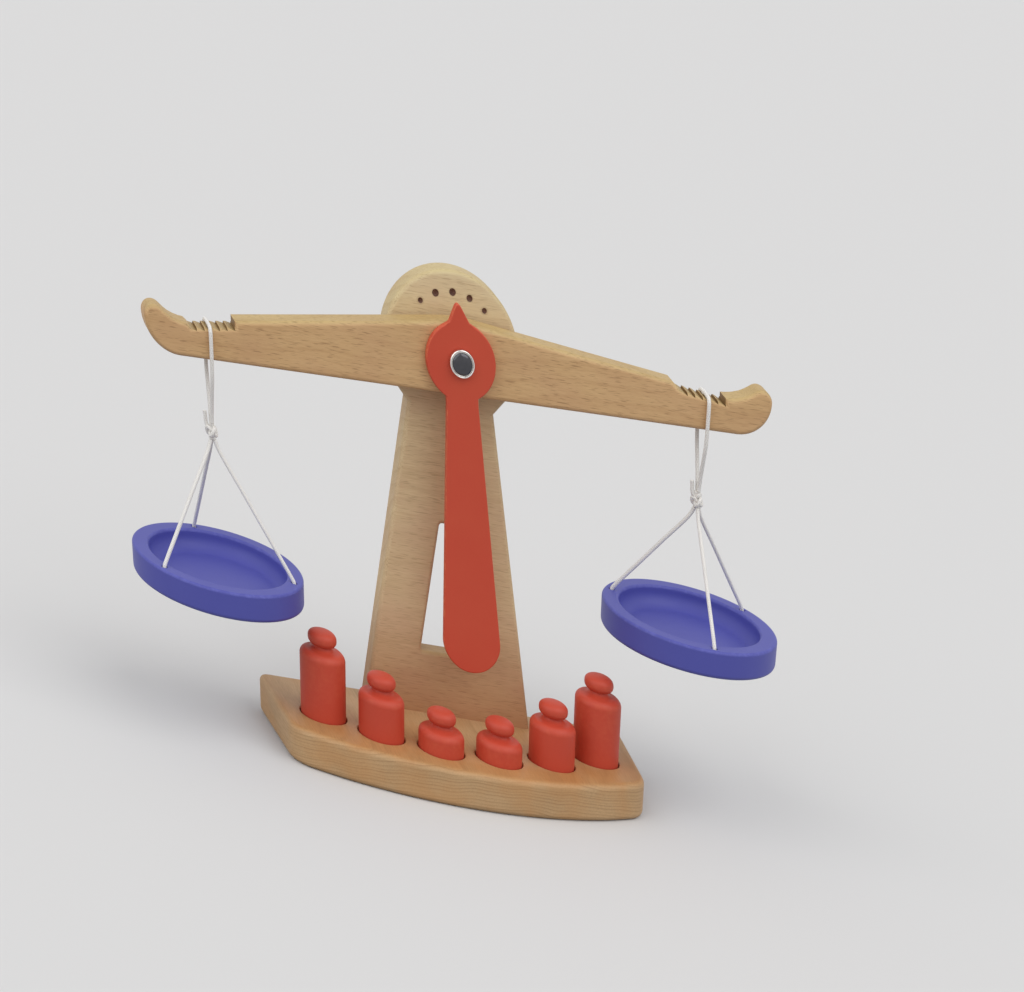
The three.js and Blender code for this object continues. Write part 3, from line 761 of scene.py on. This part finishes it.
# Screws and pin
# Two countersunk steel screws run up from under the base into the post, their heads just below the
# wood, and a steel pin carries the beam. All three keep the frame's own shape.
brushing_relief = 0.01 * mm
steel_material, tree, shader = bare_material("brushed_steel", Metallic=1.0)
brushing = noise(tree, in_millimetres(tree), (2.5, 2.5, 14.0), 3.0, 0.6)
feed(tree, shader["Base Color"], mixed(tree, brushing, tone("9ca0a5"), tone("c9ccd0")))
feed(tree, shader["Roughness"], ranged(tree, brushing, 0.3, 0.7, 0.24, 0.42))
raised(tree, shader, brushing, brushing_relief)
for name in ("base_screw_left", "base_screw_right", "pivot_pin"):
    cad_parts[name].material_slots[0].material = steel_material

# Post
# A beech board, 12.5 mm thick, glued and screwed to the base. A round head stands on sloped
# shoulders over a tapered foot, with a tall opening, and five dots are burned into the head.
post_thick = 12.5 * mm
post_inset = 8 * mm
pivot_z = 201 * mm
pivot_height = 181 * mm
head_radius = 35.2 * mm
shoulder_half = 29.3 * mm
neck_half = 22.7 * mm
neck_drop = 27 * mm
foot_half = 46.6 * mm
post_rounding = 2.2 * mm
opening_top_drop = 83 * mm
opening_bottom_drop = 148.5 * mm
opening_top_half = 5.2 * mm
opening_bottom_half = 15.1 * mm
opening_corner = 1.8 * mm
post_buried = 4 * mm
post_block_half = 140 * mm
bore_radius = 3.3 * mm
bore_rounding = 0.2 * mm
dot_arc = 25.8 * mm
dot_pitch = math.radians(19.9)
dot_radii = (1.3 * mm, 1.75 * mm, 1.75 * mm, 1.6 * mm, 1.3 * mm)
dot_depth = 0.5 * mm
dot_band = 2.4 * mm
dot_sides = 24
# A dot's floor slopes up to its wall from these shares of its radius and depth
dot_floor_shares = (0.7, 0.75)
post_back_y = base_back_y - post_inset
post_front_y = post_back_y - post_thick


def upright(back_y, turn=0.0):
    """Placing for a board that stands up, turned about the pivot."""
    across_axis = Vector((math.cos(turn), 0, -math.sin(turn)))
    up_axis = Vector((math.sin(turn), 0, math.cos(turn)))
    return lambda across, up, deep: (across_axis * across + up_axis * up
                                     + Vector((0, back_y - deep, pivot_z)))


head_start = -math.asin(math.sqrt(head_radius ** 2 - shoulder_half ** 2) / head_radius)
foot_taper = (foot_half - neck_half) / (pivot_height - neck_drop)
buried_half = foot_half + foot_taper * post_buried
buried_drop = pivot_height + post_buried
post_outline = [
    *arc((0, 0), head_radius, head_start, math.pi - head_start, steps=72),
    (-neck_half, -neck_drop), (-buried_half, -buried_drop),
    (buried_half, -buried_drop), (neck_half, -neck_drop),
]
post_opening = eased([
    (opening_top_half, -opening_top_drop, opening_corner),
    (opening_bottom_half, -opening_bottom_drop, opening_corner),
    (-opening_bottom_half, -opening_bottom_drop, opening_corner),
    (-opening_top_half, -opening_top_drop, opening_corner),
])
post = saw_board("post_board", (post_outline, post_rounding),
                 [(post_opening, post_rounding), (ring_of(bore_radius), bore_rounding)],
                 post_thick, upright(post_back_y))


def lying_at(x, y, z, way=1):
    """Placing for a piece that is turned about an axis along Y."""
    return lambda across, up, deep: Vector((x + across, y + way * deep, z + up))


# The dots are cut out, and so is what the foot would bury in the base
cutters = bmesh.new()
for step, dot_radius in enumerate(dot_radii, -2):
    dot_x = dot_arc * math.sin(step * dot_pitch)
    dot_z = pivot_z + dot_arc * math.cos(step * dot_pitch)
    radius_share, depth_share = dot_floor_shares
    dot_profile = [(0, -overrun), (dot_radius, -overrun), (dot_radius, 0),
                   (radius_share * dot_radius, depth_share * dot_depth), (0, dot_depth)]
    turn_on_lathe(cutters, dot_profile, lying_at(dot_x, post_front_y, dot_z), dot_sides)
block = [(-post_block_half, -post_block_half), (post_block_half, -post_block_half),
         (post_block_half, post_block_half), (-post_block_half, post_block_half)]
prism(cutters, [(x, y, 0) for x, y in block], [(x, y, base_thick) for x, y in block])
carved(post, cutters)
mark_edges(post, rounded_share(1, post_front_y, post_back_y, post_rounding))
true_faces(post)

post_material, tree, shader, post_colour = beech(
    "beech_post", pale="eddcb2", deep="c6ab82", fleck="9a7a58", blush="d6b898", pith=(0, 35, -60),
    lean=(math.radians(3), 0, 0), ring_width=6.0, ring_depth=0.24, wander=16.0, uneven=0.0,
    flecks=0.6, roughness=0.48)
spot = node(tree, "TexCoord").outputs["Object"]
axes = split(tree, spot)
up = maths(tree, "SUBTRACT", axes["Z"], pivot_z)

# How far a point lies from the middle of its nearest dot
angle = maths(tree, "ARCTAN2", axes["X"], up)
nearest = maths(tree, "ROUND", maths(tree, "DIVIDE", angle, dot_pitch))
folded = maths(tree, "SUBTRACT", angle, maths(tree, "MULTIPLY", nearest, dot_pitch))
sideways = maths(tree, "MULTIPLY", folded, dot_arc)
outwards = maths(tree, "SUBTRACT", distance_of(tree, axes["X"], up), dot_arc)
distance = distance_of(tree, sideways, outwards)

# Painted light and shade: the wood is tinted yellower where it faces up, darker and redder from the
# head down past the beam as painted shade under the beam, and darker and redder again towards its foot
# as painted shade near the base
post_colour = tinted(tree, facing_up(tree, 0.0, 0.7), post_colour, "ededde")
below_head_painted_shade = ranged(tree, axes["Z"], pivot_z + head_radius, pivot_z - head_radius)
post_colour = tinted(tree, below_head_painted_shade, post_colour, "faf1ec")
foot_shade_z = 74.28 * mm
foot_painted_shade = ranged(tree, axes["Z"], foot_shade_z, base_thick)
post_colour = tinted(tree, foot_painted_shade, post_colour, "dcc2b6")

# Each dot is burned dark below the face, with a scorched halo on the face round it
dots_half_angle = len(dot_radii) / 2 * dot_pitch
dot_zone = 0.75 * mm
char_from = 0.02 * mm
char_to = 0.04 * mm
halo_from = 1.2 * mm
halo_to = 2.3 * mm
smoulder_scales = (1800.0,) * 3
smoulder = noise(tree, spot, smoulder_scales)
on_head = maths(tree, "LESS_THAN", maths(tree, "ABSOLUTE", angle), dots_half_angle)
on_head = maths(tree, "MULTIPLY", on_head, maths(tree, "LESS_THAN", distance, dot_band))
in_front = maths(tree, "LESS_THAN", axes["Y"], post_front_y + dot_zone)
on_head = maths(tree, "MULTIPLY", on_head, in_front)
sunk = maths(tree, "SUBTRACT", axes["Y"], post_front_y)
burned = maths(tree, "MULTIPLY", on_head, ranged(tree, sunk, char_from, char_to))
halo = maths(tree, "MULTIPLY", on_head, ranged(tree, distance, halo_from, halo_to, 0.35, 0.0))
ember = mixed(tree, ranged(tree, smoulder, 0.35, 0.65), tone("4a2b22"), tone("6d4a3a"))
post_colour = mixed(tree, halo, post_colour, tone("6b4632"))
feed(tree, shader["Base Color"], mixed(tree, burned, post_colour, ember))
post.data.materials.append(post_material)
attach(post, "stand")
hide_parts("post")

# Washer
# A nylon ring keeps the beam off the post, and hides behind the beam. It keeps the frame's shape.
haze_relief = 0.02 * mm
nylon_material, tree, shader = bare_material("milky_nylon")
haze = noise(tree, in_millimetres(tree), detail=3.0)
feed(tree, shader["Base Color"], mixed(tree, haze, tone("dedcd2"), tone("eeece4")))
feed(tree, shader["Roughness"], ranged(tree, haze, 0.3, 0.7, 0.42, 0.55))
raised(tree, shader, haze, haze_relief)
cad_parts["pivot_washer"].material_slots[0].material = nylon_material

# Beam
# A beech board, 12.5 mm thick, whose ends curl up to a round nose. The top of each arm has a
# recess with six saw notches, and the beam rests a little low on the left.
beam_half = 162.8 * mm
beam_thick = 12.5 * mm
beam_below = 16.3 * mm
beam_above = 17 * mm
beam_slope = 0.121
beam_crown = 10 * mm
end_reach = 17.6 * mm
nose_radius = 5.6 * mm
nose_rise = 5.3 * mm
nose_turn = math.radians(130)
beam_rounding = 2.1 * mm
rest_tilt = math.radians(-1.2)
notch_count = 6
notches_outside = 2
notch_pitch = 4 * mm
notch_depth = 1.4 * mm
notch_land = 0.4 * mm
notch_arm = 129.3 * mm
notch_gap = 0.3 * mm
recess_drop = 2.9 * mm
recess_lip = 2.1 * mm
inner_ramp = 3.6 * mm
outer_ramp = 2.4 * mm
beam_back_y = 24 * mm
beam_front_y = beam_back_y - beam_thick
# The dip between nose and recess, as shares of the way along and of the height
dip_shares = [(0.17, 0.67), (0.36, 0.38), (0.58, 0.17), (0.8, 0.05)]
# Painted shade darkens the upright walls of the recess and of its notches, and the slopes between them
# a little, as the shade inside the cuts. A face is one or the other by how far it looks left or right.
wall_look = -0.5
slope_look = 0.2
slope_painted_shade = 0.35
sliver = 0.2 * mm


def rim_at(x):
    """Height of the beam's top edge, which falls towards both ends."""
    return beam_above - beam_slope * abs(x)


def crest_at(x):
    """Height of a recess's floor where no notch is sawn into it."""
    return rim_at(x) - recess_drop


def notch_walls(sign):
    """Upright walls of the notches on one arm, from the lowest x to the highest."""
    seated = sign * notch_arm + cord_radius + notch_gap
    outside = notches_outside if sign < 0 else notch_count - 1 - notches_outside
    return [seated + (i - outside) * notch_pitch for i in range(notch_count)]


def dip(start, end):
    """Places down the dip, from just past its start to its end."""
    between = [(start[0] + (end[0] - start[0]) * along, end[1] + (start[1] - end[1]) * up)
               for along, up in dip_shares]
    return [*between, end]


nose_middle_z = nose_rise - nose_radius
right_end = arc((beam_half - end_reach, nose_middle_z), end_reach, -math.pi / 2, 0, steps=20,
                rise=beam_below + nose_middle_z)
nose = arc((beam_half - nose_radius, nose_middle_z), nose_radius, 0, nose_turn, steps=16)
right_end += nose[1:]
left_end = [(-x, z) for x, z in reversed(right_end)]
right_walls = notch_walls(1)
left_walls = notch_walls(-1)
right_step = right_walls[-1]
left_step = left_walls[-1]
right_start = right_walls[0] - notch_pitch
left_start = left_walls[0] - notch_pitch
outer_rim = left_start - outer_ramp / 2
inner_rim = right_start - inner_ramp
crown_middle = (beam_above + rim_at(beam_crown)) / 2
crown_fall = (beam_above - rim_at(beam_crown)) / 2
crown = [(share * beam_crown, crown_middle - crown_fall * share ** 2)
         for share in (1, 0.75, 0.5, 0.25, 0, -0.25, -0.5, -0.75, -1)]
beam_outline = [
    *right_end,
    *dip(right_end[-1], (right_step, crest_at(right_step) + recess_lip)),
    (right_step, crest_at(right_step)),
    (right_start, crest_at(right_start)),
    (inner_rim, rim_at(inner_rim)),
    *crown,
    (left_step, rim_at(left_step)),
    (left_step, crest_at(left_step)),
    (outer_rim + outer_ramp, crest_at(outer_rim + outer_ramp)),
    *dip(left_end[0], (outer_rim, crest_at(outer_rim) + recess_lip))[::-1],
    *left_end,
]
beam = saw_board("beam_board", (beam_outline, beam_rounding), [(ring_of(bore_radius), bore_rounding)],
                 beam_thick, upright(beam_back_y, rest_tilt))

# Each notch has its upright wall on the right, and slopes down to it from the left
cutters = bmesh.new()
notch_place = upright(beam_back_y + overrun, rest_tilt)
for wall in left_walls + right_walls:
    open_side = wall - notch_pitch + notch_land
    profile = [(wall, crest_at(wall) - notch_depth), (wall, crest_at(wall) + overrun),
               (open_side, crest_at(wall) + overrun), (open_side, crest_at(open_side))]
    prism(cutters, [notch_place(x, z, 0) for x, z in profile],
          [notch_place(x, z, beam_thick + 2 * overrun) for x, z in profile])
carved(beam, cutters)
mark_edges(beam, rounded_share(1, beam_front_y, beam_back_y, beam_rounding))

to_beam = Matrix.Rotation(-rest_tilt, 3, "Y")
# Each face of the recess keeps how much painted shade it gets
notch_shade_marks = beam.data.attributes.new("notch_shade", "FLOAT", "FACE")
for face in beam.data.polygons:
    spot = to_beam @ (face.center - Vector((0, 0, pivot_z)))
    look = (to_beam @ face.normal).x
    painted_shade = 1.0 if look < wall_look else slope_painted_shade if look > slope_look else 0.0
    in_recess = any(start - sliver < spot.x < step + sliver
                    for start, step in ((left_start, left_step), (right_start, right_step)))
    if in_recess and crest_at(spot.x) - notch_depth - sliver < spot.z < rim_at(spot.x):
        notch_shade_marks.data[face.index].value = painted_shade
true_faces(beam)

beam_material, tree, shader, beam_colour = beech(
    "beech_beam", pale="e2bc89", deep="bd9365", fleck="8a6440", blush="cba077", pith=(0, -24, -150),
    lean=(math.radians(8), 0, math.radians(2)), ring_width=7.0, ring_depth=0.4, wander=16.0,
    uneven=0.0, flecks=0.8, roughness=0.46)
# Faces that look up are tinted yellower: painted light
beam_colour = tinted(tree, facing_up(tree, 0.2, 0.8), beam_colour, "edf9ee")
# The walls and slopes of the notches are darkened: painted shade
feed(tree, shader["Base Color"], tinted(tree, marked(tree, "notch_shade"), beam_colour, "a8a496"))
beam.data.materials.append(beam_material)
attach(beam, "beam")
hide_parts("beam")

# Pointer
# A thin board of birch ply, lacquered red on both sides: a disc with a small tip above it and a
# long paddle that widens below. It is glued to the beam, a touch askew.
pointer_thick = 3.5 * mm
disc_radius = 18 * mm
tip_height = 27.6 * mm
tip_half = 5.5 * mm
tip_lean = -0.7 * mm
tip_round = 2.1 * mm
tip_fillet = 4.5 * mm
pointer_neck_half = 8.3 * mm
pointer_neck_drop = 19.4 * mm
paddle_half = 15.6 * mm
paddle_drop = 134 * mm
pointer_rounding = 0.7 * mm
pointer_lean = math.radians(-2.3)
pointer_back_y = 11.2 * mm
pointer_face_skin = 0.1 * mm
pointer_front_y = pointer_back_y - pointer_thick

neck_angle = math.asin(pointer_neck_half / disc_radius)
tip_angle = math.asin(tip_half / disc_radius)
disc_start = neck_angle - math.pi / 2
disc_end = math.pi / 2 - tip_angle
disc = arc((0, 0), disc_radius, disc_start, disc_end, steps=30)
paddle = arc((0, -paddle_drop), paddle_half, -math.pi, 0, steps=32)
tip = [disc[-1], (tip_lean, tip_height), (-disc[-1][0], disc[-1][1])]
pointer_outline = eased([
    *[(x, z, 0) for x, z in disc[:-1]],
    (*tip[0], tip_fillet), (*tip[1], tip_round), (*tip[2], tip_fillet),
    *[(-x, z, 0) for x, z in reversed(disc[:-1])],
    (-pointer_neck_half, -pointer_neck_drop, 0), *[(x, z, 0) for x, z in paddle],
    (pointer_neck_half, -pointer_neck_drop, 0),
], steps=6)
pointer = saw_board("pointer_board", (pointer_outline, pointer_rounding),
                    [(ring_of(bore_radius), bore_rounding)], pointer_thick,
                    upright(pointer_back_y, rest_tilt + pointer_lean))


def between_faces(co):
    """One on the board's edges, and zero on its two faces."""
    inside = min(co.y - pointer_front_y, pointer_back_y - co.y)
    return 1.0 if inside > pointer_face_skin else 0.0


mark_edges(pointer, between_faces)
true_faces(pointer)

# Brushed lacquer: faint unevenness, dust nibs, and worn edges where the coat is thin
lacquer_skin, given, made = effect(
    "lacquer_skin",
    [("Place", "vector", None), ("Coat", "colour", tone("b5402f")), ("Thin", "colour", tone("c9705c")),
     ("Exposed", "value", 0.0), ("Wear", "value", 0.5)],
    [("Color", "colour"), ("Dullness", "value"), ("Height", "value")],
)
tree = lacquer_skin
place = given["Place"]
cloud = noise(tree, place, (0.045,) * 3, 3.0)
streak = noise(tree, place, (0.9,) * 3, 3.0, 0.6)
nibs = ranged(tree, noise(tree, place, (1.7,) * 3, 1.0), 0.73, 0.8)
rub = placed(tree, rubbed_edge, Place=place, Exposed=given["Exposed"], Patch=0.3)["Mask"]
rub = maths(tree, "MULTIPLY", rub, given["Wear"])
uneven = maths(tree, "MULTIPLY", ranged(tree, cloud, 0.3, 0.7), 0.07)
uneven = maths(tree, "MULTIPLY_ADD", ranged(tree, streak, 0.35, 0.65), 0.035, uneven)
skin = mixed(tree, uneven, given["Coat"], given["Thin"])
feed(tree, made["Color"], mixed(tree, rub, skin, given["Thin"]))
feed(tree, made["Dullness"], maths(tree, "MULTIPLY_ADD", streak, 0.6, rub))
fine_relief = maths(tree, "MULTIPLY", streak, 0.5)
feed(tree, made["Height"], maths(tree, "MULTIPLY_ADD", nibs, 0.8, fine_relief))


def lacquered(name, coat, thin, wear, roughness, relief):
    """Wood under an even coat of coloured lacquer."""
    made, tree, shader = bare_material(
        name, Specular_IOR_Level=0.32, Coat_Weight=0.05, Coat_Roughness=0.3)
    exposed = marked(tree, "worn")
    skin = placed(tree, lacquer_skin, Place=in_millimetres(tree), Coat=tone(coat), Thin=tone(thin),
                  Exposed=exposed, Wear=wear)
    feed(tree, shader["Base Color"], skin["Color"])
    dull = ranged(tree, skin["Dullness"], 0.1, 0.9, roughness, roughness + 0.16)
    feed(tree, shader["Roughness"], dull)
    raised(tree, shader, skin["Height"], relief)
    return made


red_flat = lacquered("red_lacquer_flat", coat="cb4c36", thin="e07a52", wear=0.8, roughness=0.46,
                     relief=0.02 * mm)
pointer.data.materials.append(red_flat)
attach(pointer, "beam")
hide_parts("pointer")

# Caps
# Domed steel push caps close both ends of the pivot pin. Each has a rolled rim polished bright round
# the dome, and its dome is coloured dark: a painted reflection of a dark room.
cap_radius = 6.5 * mm
cap_height = 3.4 * mm
cap_skirt = 1.2 * mm
cap_wall = 0.8 * mm
cap_pin_depth = 2.1 * mm
dome_share = 0.83
dome_face_share = 0.94
dome_start = math.radians(8)
rim_bulge = 1.0 * mm
rim_turn = math.radians(153)
rim_rise = 0.5 * mm
cap_sides = 64
scratch_relief = 0.004 * mm
# Where each cap's mouth lies, and which way its dome looks
cap_mouths = {"front": (7.4 * mm, -1), "rear": (38.8 * mm, 1)}
dome_edge = cap_radius * dome_share
dome_face = dome_edge * dome_face_share
dome_rise = cap_height - cap_skirt - rim_rise


def turned_piece(name, profile, placing, sides):
    """A whole piece turned from one profile."""
    mesh = bmesh.new()
    turn_on_lathe(mesh, profile, placing, sides)
    return piece_of(name, mesh)


chrome_material, tree, shader = bare_material("bright_plating", Metallic=1.0)
spot = in_millimetres(tree)
film = noise(tree, spot, (0.5,) * 3, 3.0, 0.6)
scratches = noise(tree, spot, (2.0, 6.0, 18.0), 2.0, 0.7)
axes = parts_of(tree)
up = maths(tree, "SUBTRACT", axes["Z"], pivot_z)
on_rim = ranged(tree, distance_of(tree, axes["X"], up), dome_face, dome_edge)
# The dome's dark colour is a painted reflection of a dark room; the rim keeps the steel's bright
# colour
dome_painted_reflection = mixed(tree, film, tone("4c4c50"), tone("5a5a5e"))
feed(tree, shader["Base Color"], mixed(tree, on_rim, dome_painted_reflection, tone("e6e4e0")))
feed(tree, shader["Roughness"], ranged(tree, film, 0.3, 0.7, 0.14, 0.24))
raised(tree, shader, scratches, scratch_relief)

cap_profile = [(0, cap_pin_depth), (bore_radius, cap_pin_depth), (bore_radius, 0),
               (cap_radius - cap_wall / 2, 0), (cap_radius, cap_wall / 2)]
cap_profile += arc(((cap_radius + dome_edge) / 2, cap_skirt), (cap_radius - dome_edge) / 2,
                   0, rim_turn, steps=12, rise=rim_bulge)
dome = arc((0, cap_skirt + rim_rise), dome_face, dome_start, math.pi / 2, steps=14, rise=dome_rise)
cap_profile += [*dome[:-1], (0, cap_height)]
for end, (mouth_y, way) in cap_mouths.items():
    cap = turned_piece(f"cap_{end}", cap_profile, lying_at(0, mouth_y, pivot_z, way), cap_sides)
    cap.data.materials.append(chrome_material)
    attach(cap, "stand")
    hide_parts(f"pivot_cap_{end}")

# Weights
# Six turned beech weights, lacquered red: a straight body with a round shoulder, a short neck
# and a flat knob. The outer pair is tall, the next medium and the inner pair small.
weight_radius = 12.4 * mm
weight_stands = {"tall": 34 * mm, "medium": 22 * mm, "small": 11.3 * mm}
weight_foot = 0.6 * mm
weight_shoulder = 4 * mm
weight_neck = 5.0 * mm
neck_flare = 0.9 * mm
# The neck's flare, as (outward, up) shares of its height
flare_shares = [(2.2, 0.25), (1.0, 0.8), (0.2, 1.6)]
neck_height = 1.5 * mm
knob_radius = 7.8 * mm
knob_half = 4.3 * mm
knob_fullness = 0.8
knob_steps = 24
weight_sides = 72
weight_gap = 0.3 * mm
shoulder_worn = 0.9 * mm
knob_worn = 1.0 * mm
weight_low = base_thick - socket_depth + weight_gap
knob_start = -math.acos((weight_neck / knob_radius) ** (1 / knob_fullness))
knob_outline = []
for k in range(knob_steps):
    t = knob_start + (math.pi / 2 - knob_start) * k / knob_steps
    high = math.copysign(abs(math.sin(t)) ** knob_fullness, t)
    knob_outline.append((knob_radius * math.cos(t) ** knob_fullness, knob_half * high))

red_turned = lacquered("red_lacquer_turned", coat="c44733", thin="d86a4a", wear=0.25, roughness=0.46,
                       relief=0.015 * mm)
for size, side, x, y in socket_places:
    top = base_thick + weight_stands[size]
    knob_z = top + neck_height + knob_half
    profile = [
        (0, weight_low), (weight_radius - weight_foot, weight_low),
        (weight_radius, weight_low + weight_foot),
        *arc((weight_radius - weight_shoulder, top - weight_shoulder), weight_shoulder,
             0, math.pi / 2, steps=12),
        *[(weight_neck + out * neck_flare, top + up * neck_flare) for out, up in flare_shares],
        *[(radius, knob_z + high) for radius, high in knob_outline],
        (0, knob_z + knob_half),
    ]
    weight = turned_piece(f"weight_{size}_{side}_turned", profile, standing_at(x, y), weight_sides)

    def on_weight_edge(co):
        """One on the shoulder and on the knob's widest part, and zero elsewhere."""
        from_wall = abs((co.xy - Vector((x, y))).length - weight_radius)
        on_shoulder = from_wall < shoulder_worn and top - weight_shoulder < co.z < top
        return 1.0 if on_shoulder or abs(co.z - knob_z) < knob_worn else 0.0

    mark_edges(weight, on_weight_edge)
    weight.data.materials.append(red_turned)
    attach(weight, f"weight_{size}_{side}")
    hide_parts(f"weight_{size}_{side}")

# Pans
# Two shallow dishes turned from wood and lacquered blue, 92 mm across. Three holes are drilled
# through the flat rim, each with a pocket underneath for the cord's stopper knot.
pan_radius = 45.95 * mm
pan_height = 14 * mm
pan_inner = 37 * mm
pan_floor = -10 * mm
bowl_fillet = 7 * mm
foot_fillet = 2.4 * mm
rim_edge = 1.5 * mm
rim_worn_down = 1.35 * mm
rim_worn_in = 1.2 * mm
hole_radius = 1.6 * mm
hole_ease = 0.3 * mm
pocket_radius = 2.6 * mm
pocket_depth = 5.6 * mm
pan_sides = 144
hole_sides = 28

blue_material = lacquered("blue_lacquer", coat="5053a6", thin="6e72c2", wear=0.5, roughness=0.44,
                          relief=0.02 * mm)

pan_profile = [
    (0, -pan_height),
    *arc((pan_radius - foot_fillet, foot_fillet - pan_height), foot_fillet, -math.pi / 2, 0, steps=8),
    *arc((pan_radius - rim_edge, -rim_edge), rim_edge, 0, math.pi / 2, steps=6),
    *arc((pan_inner + rim_edge, -rim_edge), rim_edge, math.pi / 2, math.pi, steps=6),
    *arc((pan_inner - bowl_fillet, pan_floor + bowl_fillet), bowl_fillet, 0, -math.pi / 2, steps=14),
    (0, pan_floor),
]
drill = [
    (0, -pan_height - overrun), (pocket_radius, -pan_height - overrun),
    (pocket_radius, pocket_depth - pan_height), (hole_radius, pocket_depth - pan_height),
    (hole_radius, -hole_ease), (hole_radius + hole_ease, 0),
    (hole_radius + hole_ease, overrun), (0, overrun),
]
for side, (hook_x, hook_z) in hook_places.items():
    rim_z = hook_z - loop_drop - leg_drops[side]
    pan = turned_piece(f"pan_{side}_dish", pan_profile,
                       standing_at(hook_x, beam_middle_y, rim_z), pan_sides)
    cutters = bmesh.new()
    for angle in leg_angles:
        hole_x = hook_x + hole_reach * math.cos(angle + pan_turns[side])
        hole_y = beam_middle_y + hole_reach * math.sin(angle + pan_turns[side])
        turn_on_lathe(cutters, drill, standing_at(hole_x, hole_y, rim_z), hole_sides)
    carved(pan, cutters)

    def on_rim_edge(co):
        """One on the rim's two upper edges, and zero elsewhere."""
        out = (co.xy - Vector((hook_x, beam_middle_y))).length
        high = co.z > rim_z - rim_worn_down
        at_side = out > pan_radius - rim_worn_in or out < pan_inner + rim_worn_in
        return 1.0 if high and at_side else 0.0

    mark_edges(pan, on_rim_edge)
    true_faces(pan)
    pan.data.materials.append(blue_material)
    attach(pan, f"pan_{side}")
    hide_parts(f"pan_{side}")

# Floor and light
# The scale stands on a plain pale floor that runs out of sight, between a large soft light on the
# right and a slightly weaker one on the left, in an even bright room.
floor_radius = 14.0
floor_sides = 96
floor_tone = tone("dad9d8")
floor_glow = tone("949392")
room_tone = tone("e4e3e2")


def looked_at(tree):
    """One where the camera, metal or glass looks at it, and zero where it lights other things."""
    rays = node(tree, "LightPath").outputs
    mirrored = maths(tree, "MAXIMUM", rays["Is Glossy Ray"], rays["Is Transmission Ray"])
    return maths(tree, "MAXIMUM", rays["Is Camera Ray"], mirrored)


mesh = bmesh.new()
bmesh.ops.create_circle(mesh, cap_ends=True, radius=floor_radius, segments=floor_sides)
floor = piece_of("floor", mesh)
floor_material, tree, shader = bare_material("pale_floor", Roughness=0.9, Specular_IOR_Level=0.1)
grit = noise(tree, in_millimetres(tree), detail=3.0)
floor_colour = mixed(tree, ranged(tree, grit, 0.3, 0.7, 0.0, 0.04), floor_tone, tone("d0d0d0"))
feed(tree, shader["Base Color"], mixed(tree, looked_at(tree), floor_glow, floor_colour))
floor.data.materials.append(floor_material)

world = bpy.data.worlds.new("room")
bpy.context.scene.world = world
world.use_nodes = True
tree = world.node_tree
background = tree.nodes["Background"]
seen = looked_at(tree)
feed(tree, background.inputs["Color"], mixed(tree, seen, tone("f2f3f5"), room_tone))
feed(tree, background.inputs["Strength"], ranged(tree, seen, 0.0, 1.0, 0.66, 1.0))

# Each light, as its strength, its spread and the way to it
lights = {
    "right_light": (1.02, math.radians(55), Vector((0.45, -0.45, 0.77))),
    "left_light": (0.91, math.radians(70), Vector((-0.7, -0.33, 0.63))),
}
for name, (strength, spread, source) in lights.items():
    lamp = bpy.data.lights.new(name, "SUN")
    lamp.energy = strength
    lamp.angle = spread
    light = bpy.data.objects.new(name, lamp)
    light.rotation_mode = "QUATERNION"
    light.rotation_quaternion = source.to_track_quat("Z", "Y")
    bpy.context.scene.collection.objects.link(light)
